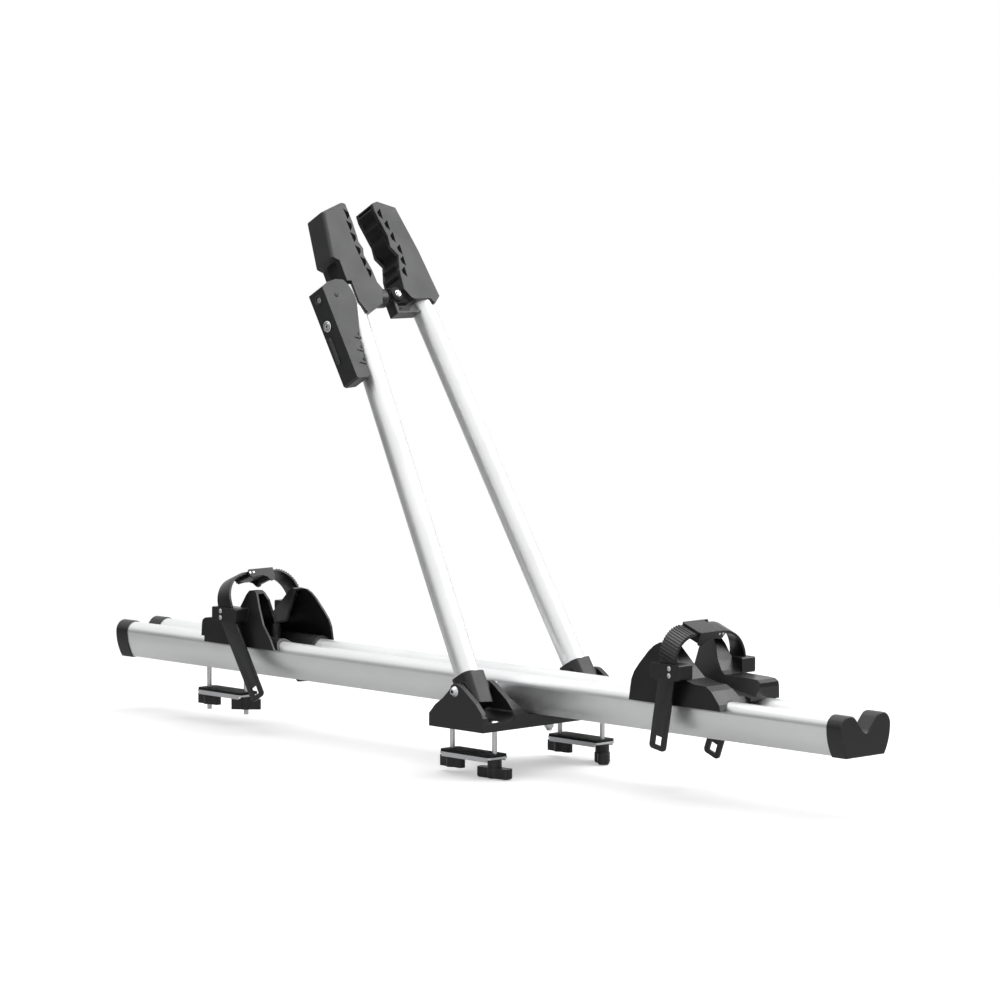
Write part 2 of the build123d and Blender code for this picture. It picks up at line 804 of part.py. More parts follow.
# Cam lever: two cheeks, an outer wall, a closed lower end, and the cam round the pin
lever_points = spots(lever_shares, lever_width, lever_height, lever_left, lever_low)
cam_x = pin_y + cam_offset * math.cos(math.radians(cam_turn))
cam_y = rod_s - cam_offset * math.sin(math.radians(cam_turn))
with BuildPart() as lever:
    with BuildSketch(arm_face.offset(lever_back)):
        Polygon(*lever_points, align=None)
    extrude(amount=lever_front - lever_back)
    fillet(lever.edges().filter_by(lambda e: abs(e.length - (lever_front - lever_back)) < fit_gap
                                   and e.center().Y < lever_left + lever_end), lever_round)
    with BuildSketch(arm_face.offset(lever_back + cheek_back)):
        Polygon(
            (lever_left + lever_skin, lever_low + lever_height),
            (lever_left + lever_skin, lever_low + 2 * lever_end),
            (lever_left + lever_width, lever_low + 2 * lever_end),
            (lever_left + lever_width, lever_low + lever_height),
            align=None,
        )
    extrude(amount=lever_front - lever_back - cheek_back - cheek_front, mode=Mode.SUBTRACT)
    with BuildSketch(arm_face.offset(lever_back)):
        with Locations((cam_x, cam_y)):
            Circle(cam_radius)
    extrude(amount=lever_front - lever_back)
    with BuildSketch(arm_face.offset(-eye_half - slide_gap)):
        with Locations((pin_y + cam_radius, rod_s)):
            Rectangle(2 * (cam_radius + eye_radius + overrun), 4 * cam_radius)
    extrude(amount=2 * (eye_half + slide_gap), mode=Mode.SUBTRACT)
    with BuildSketch(arm_face.offset(lever_back - overrun)):
        with Locations((pin_y, rod_s)):
            Circle(pin_radius + turn_gap)
    extrude(amount=2 * jaw_half, mode=Mode.SUBTRACT)
    for low_n, reach, deep in (
        (lever_back - overrun, lever_reach, 2 * jaw_half),
        (lever_back - overrun, back_reach, cheek_back + 2 * overrun),
    ):
        with BuildSketch(arm_face.offset(low_n)):
            with Locations((pin_y + lever_width / 2, rod_s + lever_width / 2)):
                Rectangle(lever_width, lever_width)
            with Locations((pin_y, rod_s)):
                Circle(reach, mode=Mode.SUBTRACT)
        extrude(amount=deep, mode=Mode.SUBTRACT)
    with BuildSketch(arm_face.offset(lever_back - overrun)):
        with Locations((pin_y + back_reach + lever_width / 2, rod_s - lever_width / 2)):
            Rectangle(lever_width, 2 * lever_width)
    extrude(amount=cheek_back + 2 * overrun, mode=Mode.SUBTRACT)
    for y, up in zip(notch_y, notch_heights):
        with BuildSketch(arm_face.offset(lever_back - overrun)):
            with Locations((y, up)):
                Circle(notch_radius)
        extrude(amount=2 * jaw_half, mode=Mode.SUBTRACT)
    outer = Plane(arm_point(0, lever_left - overrun, 0), x_dir=-facing, z_dir=(0, 1, 0))
    with BuildSketch(outer):
        with Locations((-lock_out, lock_s)):
            Circle(lock_radius + turn_gap)
        with Locations((-window_out, window_s)):
            Circle(window_radius)
    extrude(amount=lever_skin + 2 * overrun, mode=Mode.SUBTRACT)
    with BuildSketch(outer):
        with Locations((-recess_out, (recess_low + recess_high) / 2)):
            RectangleRounded(recess_width, recess_high - recess_low, recess_round)
    extrude(amount=overrun + recess_deep, mode=Mode.SUBTRACT)
save(lever, "cam_lever")

with BuildPart() as lever_pin:
    with BuildSketch(arm_face.offset(lever_back + overrun / 2)):
        with Locations((pin_y, rod_s)):
            Circle(pin_radius)
    extrude(amount=lever_front - lever_back - overrun)
save(lever_pin, "lever_pin")

lock_face = Plane(arm_point(lock_out, lever_left - lock_proud, lock_s), x_dir=facing, z_dir=(0, 1, 0))
with BuildPart() as lock:
    with BuildSketch(lock_face):
        Circle(lock_radius)
    extrude(amount=lock_length)
    with BuildSketch(lock_face):
        Rectangle(lock_proud, lock_radius)
    extrude(amount=2 * lock_proud, mode=Mode.SUBTRACT)
save(lock, "lock_cylinder")


# Wheel trays. Each is made lying along +X from its tall end, then set on the rail.
groove_lean = math.degrees(math.atan2(groove_start_z - groove_end_z, tray_length - groove_start_x))
groove_along = Vector(1, 0, 0).rotate(Axis.Y, groove_lean)


def cross_plane(x):
    return Plane(origin=(x, 0, 0), x_dir=(0, 1, 0), z_dir=(1, 0, 0))


def side_plane(y):
    return Plane(origin=(0, y, 0), x_dir=(1, 0, 0), z_dir=(0, -1, 0))


def skin_flat(x, inset):
    bottom = tray_foot_half - inset
    top = tray_top_half - inset
    high = tray_height + overrun
    right = [(bottom, 0), (bottom, tray_skirt), (top, high)]
    return flat(cross_plane(x), right + [(-y, z) for y, z in reversed(right)])


def rail_flat(x, grow):
    with BuildSketch(cross_plane(x)) as face:
        with BuildLine():
            rail_half_outline(grow, 0)
        make_face()
    return face.sketch


def groove_flat(inset):
    """The wheel groove's section, on a plane square to its falling floor."""
    start = Plane(Vector(groove_start_x, 0, groove_start_z), x_dir=(0, 1, 0), z_dir=groove_along)
    floor = groove_floor_half + inset
    top = groove_top_half + inset
    corners = [(-floor, -inset), (floor, -inset), (top, tray_height / 2), (top, tray_height)]
    return flat(start.offset(-tray_length), corners + [(-top, tray_height), (-top, tray_height / 2)])


def tray_sides(move):
    for y, shares in ((0, tray_near_shares), (tray_foot_half, tray_far_shares)):
        outline = spots(shares, tray_length, tray_height, -move, -move)
        extrude(flat(side_plane(y), outline), amount=tray_foot_half)


def wheel_tray(strap_x):
    with BuildPart() as core:
        tray_sides(tray_wall)
        long = tray_length + 2 * overrun
        extrude(skin_flat(-tray_wall - overrun, tray_wall), amount=long + tray_wall, mode=Mode.INTERSECT)
        extrude(rail_flat(-tray_wall - overrun, tray_gap + tray_wall), amount=2 * long, mode=Mode.SUBTRACT)
        extrude(groove_flat(tray_wall), amount=3 * tray_length, mode=Mode.SUBTRACT)
        extrude(skin_flat(tray_length - hollow_end, 0), amount=long, mode=Mode.SUBTRACT)
    with BuildPart() as tray:
        tray_sides(0)
        extrude(skin_flat(-overrun, 0), amount=tray_length + 2 * overrun, mode=Mode.INTERSECT)
        add(core.part, mode=Mode.SUBTRACT)
        extrude(groove_flat(0), amount=3 * tray_length, mode=Mode.SUBTRACT)
        with BuildPart(mode=Mode.PRIVATE) as tail:
            extrude(skin_flat(-overrun, tray_wall), amount=tail_open + overrun)
            extrude(rail_flat(-overrun, tray_gap + tray_wall), amount=2 * tail_open, mode=Mode.SUBTRACT)
        add(tail.part, mode=Mode.SUBTRACT)
        screw_base = Plane.XY.offset(dip_low)
        extrude(round_flat(screw_base, screw_head + tray_wall, screw_x, 0),
                amount=groove_start_z - tray_wall - dip_low)
        for way in (-1, 1):
            outer = Plane(origin=(strap_x, way * lug_in, 0), x_dir=(1, 0, 0), z_dir=(0, way, 0))
            middle = (lug_low + lug_high) / 2
            with BuildSketch(outer) as lug:
                with Locations((0, -way * middle)):
                    RectangleRounded(2 * lug_half, lug_high - lug_low, lug_edge)
            extrude(lug.sketch, amount=lug_out - lug_in)
            with BuildSketch(Plane.XY.offset(lug_low - overrun)) as slot:
                with Locations((strap_x, way * (strap_out - strap_thick / 2))):
                    Rectangle(2 * lug_slot_half, strap_thick + 2 * lug_slot_gap)
            extrude(slot.sketch, amount=lug_high - lug_low + 2 * overrun, mode=Mode.SUBTRACT)
            for up in (middle - lug_pin_step, middle + lug_pin_step):
                pin = round_flat(Plane(origin=(strap_x + lug_pin_x, way * lug_out, up),
                                       x_dir=(1, 0, 0), z_dir=(0, -way, 0)), lug_pin_radius)
                extrude(pin, amount=lug_pin_depth, mode=Mode.SUBTRACT)
        extrude(rail_flat(-overrun, tray_gap), amount=tray_length + 2 * overrun, mode=Mode.SUBTRACT)
        extrude(round_flat(Plane.XY, screw_radius + slide_gap, screw_x, 0),
                amount=tray_height, mode=Mode.SUBTRACT)
        extrude(round_flat(Plane.XY.offset(bench_top), screw_head + slide_gap, screw_x, 0),
                amount=tray_height, mode=Mode.SUBTRACT)
    return tray


def lug_pins(strap_x):
    middle = (lug_low + lug_high) / 2
    with BuildPart() as pins:
        for way in (-1, 1):
            for up in (middle - lug_pin_step, middle + lug_pin_step):
                base = Plane(origin=(strap_x + lug_pin_x, way * (lug_out - lug_pin_depth), up),
                             x_dir=(1, 0, 0), z_dir=(0, way, 0))
                disc(base, lug_pin_radius - turn_gap, lug_pin_depth)
                crown(base.offset(lug_pin_depth), lug_pin_radius + lug_pin_proud, lug_pin_proud)
    return pins


def tray_screw():
    with BuildPart() as screw:
        bottom = top_channel_low + fit_gap * 2
        disc(Plane(origin=(screw_x, 0, bottom)), screw_radius, bench_top - bottom)
        disc(Plane(origin=(screw_x, 0, bench_top)), screw_head, screw_head_high)
        drive = Plane.XY.offset(bench_top + screw_head_high / 2)
        extrude(round_flat(drive, screw_drive, screw_x, 0), amount=screw_head_high, mode=Mode.SUBTRACT)
    return screw


def tray_nut():
    top = top_channel_low + top_slot_deep - slide_gap
    with BuildPart() as nut:
        with BuildSketch(Plane.XY.offset(top - slot_nut_high)):
            with Locations((screw_x, 0)):
                Rectangle(slot_nut_long, 2 * (slot_half - slide_gap))
                Circle(screw_radius + turn_gap, mode=Mode.SUBTRACT)
        extrude(amount=slot_nut_high)
    return nut


def leaning(lean):
    """The upward and the forward direction of something that leans toward +X."""
    return Vector(0, 0, 1).rotate(Axis.Y, lean), Vector(1, 0, 0).rotate(Axis.Y, lean)


def buckle_plane(place, across=0):
    """The strap's plane at its top, where it lies across the tyre."""
    strap_x, straight, lean, tilt = place
    half_thick = strap_thick / 2
    middle = Vector(strap_x, 0, strap_z) + leaning(lean)[0] * (straight + strap_radius - half_thick)
    up, square = leaning(tilt)
    start = middle - up * (buckle_belt_top - half_thick) + square * across
    return Plane(start, x_dir=(0, 1, 0), z_dir=square)


def strap(way, place, tail_lean, tail_long, inner_end, ridged):
    """A strap from its inner end in the buckle, over the bend and down to its tail."""
    strap_x, strap_straight, lean, tilt = place
    bend = strap_out - strap_radius
    wide = leaning(tilt)[1]
    with BuildPart() as belt:
        start = Vector(strap_x, 0, strap_z) - wide * strap_half
        with BuildSketch(Plane(start, x_dir=(0, 1, 0), z_dir=leaning(lean)[1])):
            with BuildLine():
                a = Line((way * strap_out, -strap_below), (way * strap_out, strap_straight))
                b = RadiusArc(a @ 1, (way * bend, strap_straight + strap_radius), -way * strap_radius)
                c = Line(b @ 1, (inner_end, strap_straight + strap_radius))
                d = Line(c @ 1, (inner_end, strap_straight + strap_radius - strap_thick))
                e = Line(d @ 1, (way * bend, strap_straight + strap_radius - strap_thick))
                f = RadiusArc(e @ 1, (way * (strap_out - strap_thick), strap_straight),
                              way * (strap_radius - strap_thick))
                g = Line(f @ 1, (way * (strap_out - strap_thick), -strap_below))
                Line(g @ 1, a @ 0)
            make_face()
            if ridged:
                with Locations((way * bend, strap_straight)):
                    with PolarLocations(strap_radius, ridge_count, 90 + ridge_turn, ridge_turn * ridge_count,
                                        endpoint=False):
                        Rectangle(2 * ridge_deep, 2 * ridge_half)
        extrude(amount=2 * strap_half, dir=wide)
        side = Plane(origin=(strap_x, way * strap_out, strap_z - tail_fold_below),
                     x_dir=Vector(1, 0, 0).rotate(Axis.Y, tail_lean), z_dir=(0, -1, 0))
        with BuildSketch(side):
            Circle(strap_half)
            with Locations((0, -tail_long / 2)):
                RectangleRounded(2 * strap_half, tail_long, tail_corner)
            with Locations((0, -tail_long / 4)):
                Rectangle(2 * strap_half, tail_long / 2)
            with Locations((0, tail_window_up - tail_long)):
                Rectangle(tail_window, tail_window, mode=Mode.SUBTRACT)
        extrude(amount=way * strap_thick)
        if not ridged:
            eye = round_flat(buckle_plane(place, -strap_half), strap_eye, anchor_u, hinge_v)
            extrude(eye, amount=2 * strap_half)
            hole = round_flat(buckle_plane(place, -buckle_width), hinge_radius + turn_gap, anchor_u, hinge_v)
            extrude(hole, amount=2 * buckle_width, mode=Mode.SUBTRACT)
    return belt


def buckle_frame(place):
    cheek = spots(cheek_shares, 2 * buckle_half, buckle_top - buckle_low, 0, buckle_low)
    with BuildPart() as frame:
        for across in (-buckle_width, buckle_width - buckle_cheek):
            extrude(flat(buckle_plane(place, across), cheek), amount=buckle_cheek)
            boss = round_flat(buckle_plane(place, across), anchor_boss, anchor_u, hinge_v)
            extrude(boss, amount=buckle_cheek)
        floor = [(-buckle_half, buckle_floor), (buckle_half, buckle_floor),
                 (buckle_half, buckle_floor - buckle_plate), (-buckle_half, buckle_floor - buckle_plate)]
        extrude(flat(buckle_plane(place, -buckle_width), floor), amount=2 * buckle_width)
        hook = [(buckle_hook_low, buckle_floor - buckle_plate / 2),
                (buckle_hook_high, buckle_floor - buckle_plate / 2),
                (buckle_hook_high, buckle_low + buckle_plate),
                (buckle_hook_low, buckle_low + buckle_plate)]
        extrude(flat(buckle_plane(place, -buckle_width), hook), amount=2 * buckle_width)
        for u in (hinge_u, anchor_u):
            hole = round_flat(buckle_plane(place, -buckle_width - overrun),
                              hinge_radius + turn_gap, u, hinge_v)
            extrude(hole, amount=2 * buckle_width + 2 * overrun, mode=Mode.SUBTRACT)
    return frame


def buckle_pins(place):
    with BuildPart() as pins:
        for u in (hinge_u, anchor_u):
            pin = round_flat(buckle_plane(place, -buckle_width), hinge_radius, u, hinge_v)
            extrude(pin, amount=2 * buckle_width)
    return pins


def buckle_lever(place):
    inner = buckle_width - buckle_cheek - slide_gap
    with BuildPart() as lid:
        plate = [(-buckle_half - overrun, buckle_top), (hinge_u, buckle_top),
                 (hinge_u, buckle_top - buckle_lid), (-buckle_half - overrun, buckle_top - buckle_lid)]
        extrude(flat(buckle_plane(place, -inner), plate), amount=2 * inner)
        knuckle = round_flat(buckle_plane(place, -inner), hinge_radius + knuckle_wall, hinge_u, hinge_v)
        extrude(knuckle, amount=2 * inner)
        post_top = buckle_top - buckle_lid / 2
        post = [(hinge_u - hinge_radius, hinge_v), (hinge_u + hinge_radius, hinge_v),
                (hinge_u + hinge_radius, post_top), (hinge_u - hinge_radius, post_top)]
        extrude(flat(buckle_plane(place, -inner), post), amount=2 * inner)
        hole = round_flat(buckle_plane(place, -buckle_width), hinge_radius + turn_gap, hinge_u, hinge_v)
        extrude(hole, amount=2 * buckle_width, mode=Mode.SUBTRACT)
    return lid


front_place = Location((front_tray_x, 0, rail_bottom))
rear_place = Location((rear_tray_x, 0, rail_bottom), (0, 0, 180))
front_strap = (front_strap_x, front_strap_straight, front_strap_lean, front_strap_tilt)
rear_strap = (rear_strap_x, rear_strap_straight, rear_strap_lean, rear_strap_tilt)
front_tails = (front_toothed_lean, front_toothed_long, front_plain_lean, front_plain_long)
rear_tails = (rear_toothed_lean, rear_toothed_long, rear_plain_lean, rear_plain_long)
for name, place, strap_place, tails in (
    ("front", front_place, front_strap, front_tails),
    ("rear", rear_place, rear_strap, rear_tails),
):
    for label, made in (
        ("wheel_tray", wheel_tray(strap_place[0])),
        ("lug_pins", lug_pins(strap_place[0])),
        ("tray_screw", tray_screw()),
        ("tray_nut", tray_nut()),
        ("toothed_strap", strap(-1, strap_place, *tails[:2], toothed_end, True)),
        ("plain_strap", strap(1, strap_place, *tails[2:], plain_end, False)),
        ("buckle_frame", buckle_frame(strap_place)),
        ("buckle_pin", buckle_pins(strap_place)),
        ("buckle_lever", buckle_lever(strap_place)),
    ):
        with BuildPart() as placed:
            add(made.part.moved(place))
        save(placed, name + "_" + label)


# Roof bar clamps: studs from above, a steel plate with a soft pad, and nuts below
front_plate_low = front_pad_top - pad_thick - plate_thick
rear_plate_low = rear_pad_top - pad_thick - plate_thick
knob_stud_end = front_plate_low - slide_gap - knob_stud_depth

with BuildPart() as carriage_bolts:
    for x in (-stud_step, stud_step):
        for y in (-bar_side, bar_side):
            end = knob_stud_end if x > 0 else front_stud_end
            disc(Plane(origin=(x, y, end)), stud_radius, floor_thick - end)
            with BuildSketch(Plane(origin=(x, y, floor_thick - neck_height))) as neck:
                Rectangle(2 * neck_half, 2 * neck_half)
            extrude(neck.sketch, amount=neck_height)
            crown(Plane(origin=(x, y, floor_thick)), head_radius, head_height)
save(carriage_bolts, "front_carriage_bolts")

slot_top = rail_bottom + rail_wall
head_half = slot_half - slide_gap
with BuildPart() as rail_bolts:
    for x in (-stud_step, stud_step):
        disc(Plane(origin=(x, 0, -dome_nut_high)), stud_radius, slot_top + dome_nut_high)
        with BuildSketch(Plane(origin=(x, 0, slot_top))) as head:
            Rectangle(2 * head_half, 2 * head_half)
        extrude(head.sketch, amount=neck_height)
save(rail_bolts, "rail_bolts")

with BuildPart() as dome_nuts:
    for x in (-stud_step, stud_step):
        under = Plane(origin=(x, 0, 0), x_dir=(1, 0, 0), z_dir=(0, 0, -1))
        with BuildSketch(under) as hexagon:
            RegularPolygon(dome_nut_width / 2, 6, major_radius=False)
        extrude(hexagon.sketch, amount=dome_nut_high)
        crown(under.offset(dome_nut_high), dome_cap_radius, dome_cap_high)
        hole = round_flat(under, stud_radius + turn_gap)
        extrude(hole, amount=dome_nut_high + slide_gap, mode=Mode.SUBTRACT)
save(dome_nuts, "rail_dome_nuts")

rear_stud_xs = (rear_clamp_x - stud_step, rear_clamp_x + stud_step)
with BuildPart() as rear_bolts:
    for x in rear_stud_xs:
        disc(Plane(origin=(x, 0, rear_stud_end)), stud_radius, slot_top - rear_stud_end)
        with BuildSketch(Plane(origin=(x, 0, slot_top))) as head:
            Rectangle(2 * head_half, 2 * head_half)
        extrude(head.sketch, amount=neck_height)
save(rear_bolts, "rear_t_bolts")

with BuildPart() as spacers:
    for x in rear_stud_xs:
        with BuildSketch(Plane(origin=(x, 0, rail_bottom - spacer_height))) as ring:
            Circle(spacer_radius)
            Circle(stud_radius + turn_gap, mode=Mode.SUBTRACT)
        extrude(ring.sketch, amount=spacer_height)
save(spacers, "rear_stud_spacers")


def clamp_plate(x, y, top):
    with BuildPart() as plate:
        long = 2 * (stud_step + plate_side)
        with BuildSketch(Plane(origin=(x, y, top - plate_thick))):
            RectangleRounded(long, plate_width, plate_corner)
        extrude(amount=plate_thick)
        with BuildSketch(Plane(origin=(x, y, top - flange_high))):
            with GridLocations(0, plate_width - flange_thick, 1, 2):
                Rectangle(long - 2 * plate_corner, flange_thick)
        extrude(amount=flange_high - plate_thick / 2)
        with BuildSketch(Plane(origin=(x, y, top - 2 * plate_thick))):
            with GridLocations(2 * stud_step, 0, 2, 1):
                Circle(stud_hole)
        extrude(amount=3 * plate_thick, mode=Mode.SUBTRACT)
    return plate


def clamp_pad(x, y, top):
    with BuildPart() as pad:
        long = 2 * (stud_step + plate_side) - overrun
        with BuildSketch(Plane(origin=(x, y, top - pad_thick))):
            RectangleRounded(long, plate_width - overrun, plate_corner)
            with GridLocations(2 * stud_step, 0, 2, 1):
                Circle(stud_hole + slide_gap, mode=Mode.SUBTRACT)
        extrude(amount=pad_thick)
        with BuildSketch(Plane(origin=(x, y, top - overrun / 2))):
            with GridLocations(groove_step, 0, groove_count, 1):
                Rectangle(overrun, plate_width)
        extrude(amount=overrun, mode=Mode.SUBTRACT)
    return pad


def t_knob(x, y, top, turn):
    with BuildPart() as knob:
        under = Plane(origin=(x, y, top), x_dir=(1, 0, 0), z_dir=(0, 0, -1)).rotated((0, 0, turn))
        disc(under, hub_radius, hub_height + overrun)
        with BuildSketch(under.offset(hub_height)) as bar:
            RectangleRounded(knob_bar_length, knob_bar_width, plate_corner)
            Circle(knob_collar)
        extrude(bar.sketch, amount=knob_bar_height)
        chamfer(knob.faces().sort_by(Axis.Z)[0].edges(), knob_edge)
        extrude(round_flat(under, stud_radius + turn_gap), amount=knob_bore_deep, mode=Mode.SUBTRACT)
    return knob


def wing_nut(x, y, top, turn):
    with BuildPart() as nut:
        under = Plane(origin=(x, y, top), x_dir=(1, 0, 0), z_dir=(0, 0, -1)).rotated((0, 0, turn))
        low = flange_high - plate_thick + wing_drop
        disc(under, wing_hub_radius, low + wing_height)
        with BuildSketch(under.offset(low)) as wings:
            RectangleRounded(wing_length, wing_width, wing_corner)
        extrude(wings.sketch, amount=wing_height)
        extrude(round_flat(under, stud_radius + turn_gap), amount=2 * knob_bore_deep, mode=Mode.SUBTRACT)
    return nut


for name, x, y, top in (
    ("near_front", 0, -bar_side, front_pad_top),
    ("far_front", 0, bar_side, front_pad_top),
    ("rear", rear_clamp_x, 0, rear_pad_top),
):
    save(clamp_plate(x, y, top - pad_thick), name + "_clamp_plate")
    save(clamp_pad(x, y, top), name + "_clamp_pad")

front_nut_top = front_plate_low - slide_gap
rear_nut_top = rear_plate_low - slide_gap
save(t_knob(stud_step, -bar_side, front_nut_top, near_knob_turn), "near_front_knob")
save(t_knob(stud_step, bar_side, front_nut_top, far_knob_turn), "far_front_knob")
save(wing_nut(-stud_step, -bar_side, front_nut_top, front_wing_turn), "near_front_wing_nut")
save(wing_nut(-stud_step, bar_side, front_nut_top, front_wing_turn), "far_front_wing_nut")
save(wing_nut(rear_stud_xs[1], 0, rear_nut_top, rear_front_wing_turn), "rear_front_wing_nut")
save(wing_nut(rear_stud_xs[0], 0, rear_nut_top, rear_back_wing_turn), "rear_back_wing_nut")
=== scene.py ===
# %% [markdown]
# This lesson dresses a bike carrier for a car roof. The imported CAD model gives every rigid
# piece at its real place and size. What is left to do here is what the eye notices: the
# finish of each surface, small trim that is too fine for the CAD, the light and the camera.

import json
import math

import bmesh
import bpy
from mathutils import Matrix, Vector


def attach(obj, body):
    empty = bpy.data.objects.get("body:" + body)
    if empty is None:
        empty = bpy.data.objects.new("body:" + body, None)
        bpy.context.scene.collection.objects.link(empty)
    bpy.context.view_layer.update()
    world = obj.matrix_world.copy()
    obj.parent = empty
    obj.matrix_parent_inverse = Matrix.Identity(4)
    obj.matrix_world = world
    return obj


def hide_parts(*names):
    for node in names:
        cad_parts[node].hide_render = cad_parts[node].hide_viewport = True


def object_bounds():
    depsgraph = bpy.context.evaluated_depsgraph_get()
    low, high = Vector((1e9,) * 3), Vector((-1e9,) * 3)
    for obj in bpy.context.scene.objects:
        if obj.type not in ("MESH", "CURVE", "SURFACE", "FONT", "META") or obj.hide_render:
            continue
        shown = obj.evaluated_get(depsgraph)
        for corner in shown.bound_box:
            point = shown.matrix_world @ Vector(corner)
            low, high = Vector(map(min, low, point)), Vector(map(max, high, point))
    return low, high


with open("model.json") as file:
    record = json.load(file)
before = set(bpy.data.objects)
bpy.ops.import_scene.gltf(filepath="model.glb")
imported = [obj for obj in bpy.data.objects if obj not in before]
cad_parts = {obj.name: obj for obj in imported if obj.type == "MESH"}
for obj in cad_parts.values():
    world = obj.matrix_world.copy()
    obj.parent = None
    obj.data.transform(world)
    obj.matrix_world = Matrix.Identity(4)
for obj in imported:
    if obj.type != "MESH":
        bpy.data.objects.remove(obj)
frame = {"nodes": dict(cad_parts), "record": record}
nodes = frame["nodes"]
cad_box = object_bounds()
mm = 0.001
scene = bpy.context.scene
print("CAD nodes:", len(nodes))

# %% [markdown]
# The photograph was taken from a long way off, so its lines hardly converge. A camera with
# a long lens, more than five metres away and a little above the rail, gives the same view.

# %% Camera
view_turn = math.radians(46.3)
view_rise = math.radians(5.2)
view_distance = 5.4205
target = Vector((-0.0485, 0.0, 0.26215))
toward_camera = Vector((
    math.sin(view_turn) * math.cos(view_rise),
    -math.cos(view_turn) * math.cos(view_rise),
    math.sin(view_rise),
))
camera_data = bpy.data.cameras.new("camera")
camera_data.lens = 162.0
camera_data.sensor_width = 36.0
camera_data.clip_end = 50.0
camera = bpy.data.objects.new("camera", camera_data)
camera.location = target + toward_camera * view_distance
camera.rotation_euler = toward_camera.to_track_quat("Z", "Y").to_euler()
scene.collection.objects.link(camera)
scene.camera = camera
print("camera at", [round(c, 3) for c in camera.location])

# %% [markdown]
# Node trees are easier to read when a few helpers do the wiring. One fills a node's sockets,
# each with a plain value or with a link from another node's output. One adds a node, three
# more make the sums, ramps and mixes that every finish needs, and the last one starts an
# empty material.

# %% Wiring helpers
scene.view_settings.view_transform = "Standard"


def fill(tree, node, sockets):
    """Put a value in, or a link to, each named or numbered socket of a node."""
    for key, value in sockets.items():
        socket = node.inputs[key]
        if isinstance(value, bpy.types.NodeSocket):
            tree.links.new(value, socket)
        elif hasattr(value, "__len__") and len(value) == 3 and socket.type == "RGBA":
            socket.default_value = (*value, 1)
        else:
            socket.default_value = value


def add(tree, kind, sockets=None, **settings):
    """Add one shader node, set its options, then fill its sockets."""
    node = tree.nodes.new("ShaderNode" + kind)
    for key, value in settings.items():
        setattr(node, key, value)
    fill(tree, node, sockets or {})
    return node


def sums(tree, operation, first, second, clamp=False):
    """One Math node; returns its output."""
    return add(tree, "Math", {0: first, 1: second}, operation=operation, use_clamp=clamp).outputs[0]


def ramp(tree, value, low, high, to_low=0.0, to_high=1.0, smooth=False):
    """Map a value from one range to another, held inside it."""
    kind = "SMOOTHSTEP" if smooth else "LINEAR"
    sockets = {"Value": value, "From Min": low, "From Max": high, "To Min": to_low, "To Max": to_high}
    return add(tree, "MapRange", sockets, interpolation_type=kind, clamp=True).outputs[0]


def mix_color(tree, share, first, second):
    """Mix two colours by a share from 0 to 1."""
    return add(tree, "Mix", {0: share, 6: first, 7: second}, data_type="RGBA").outputs[2]


def new_material(name):
    """An empty node material, with its node tree and its output node."""
    material = bpy.data.materials.new(name)
    material.use_nodes = True
    tree = material.node_tree
    tree.nodes.clear()
    output = tree.nodes.new("ShaderNodeOutputMaterial")
    return material, tree, output


print("view transform:", scene.view_settings.view_transform)

# %% [markdown]
# The product stands in a white studio. The floor is one pale sheet a little under the lowest
# knob. It glows just enough to read as white paper, keeps the shadow, and fades out some
# way from the product, so that no horizon line crosses the picture.

# %% Floor
floor_drop = 1 * mm
floor_half = 6.0
fade_start, fade_end = 0.75, 1.9
paper_white, paper_in_mirrors = 0.8, 0.5
glow_for_camera, glow_in_mirrors = 0.42, 0.1

floor_height = cad_box[0][2] - floor_drop
floor_mesh = bpy.data.meshes.new("floor")
floor_form = bmesh.new()
bmesh.ops.create_grid(floor_form, x_segments=4, y_segments=4, size=floor_half)
floor_form.to_mesh(floor_mesh)
floor_form.free()
floor = bpy.data.objects.new("floor", floor_mesh)
floor.location.z = floor_height
scene.collection.objects.link(floor)

floor_paper, tree, output = new_material("floor_paper")
place = add(tree, "NewGeometry").outputs["Position"]
reach = add(tree, "VectorMath", {0: place}, operation="LENGTH").outputs["Value"]
gone = ramp(tree, reach, fade_start, fade_end, smooth=True)
rays = add(tree, "LightPath")
mirrored = sums(tree, "MAXIMUM", rays.outputs["Is Glossy Ray"], rays.outputs["Is Transmission Ray"])
lit_by_lamps = mix_color(tree, mirrored, (paper_white,) * 3, (paper_in_mirrors,) * 3)
paper = add(tree, "BsdfDiffuse", {"Color": lit_by_lamps})
own_glow = sums(tree, "MULTIPLY", rays.outputs["Is Camera Ray"], glow_for_camera)
shine = sums(tree, "ADD", own_glow, sums(tree, "MULTIPLY", mirrored, glow_in_mirrors))
glow = add(tree, "Emission", {"Strength": shine})
sheet = add(tree, "AddShader", {0: paper.outputs[0], 1: glow.outputs[0]})
clear = add(tree, "BsdfTransparent")
faded = add(tree, "MixShader", {0: gone, 1: sheet.outputs[0], 2: clear.outputs[0]})
fill(tree, output, {"Surface": faded.outputs[0]})
floor_mesh.materials.append(floor_paper)
print("floor at", round(floor_height, 4))

# %% [markdown]
# The room round the product is white too, but a real studio is dimmer near the ground, where
# no lamp hangs, and darkest on the left of this picture. Metal mirrors that side as a soft
# grey band, and upright black faces stay black. So the world is plain white to the camera.
# To every other ray it has two dim sides low down, and dull surfaces get only a low light
# from above. Two large lamps do the rest: a key high on the far right and one overhead.

# %% Room
dark_side = Vector((-0.74, -0.67, 0.0)).normalized()
dim_side = Vector((0.72, 0.69, 0.0)).normalized()
dark_depth, dim_depth = 0.8, 0.72
low_until, low_gone = 0.12, 0.5
light_below, light_above = 0.16, 0.46

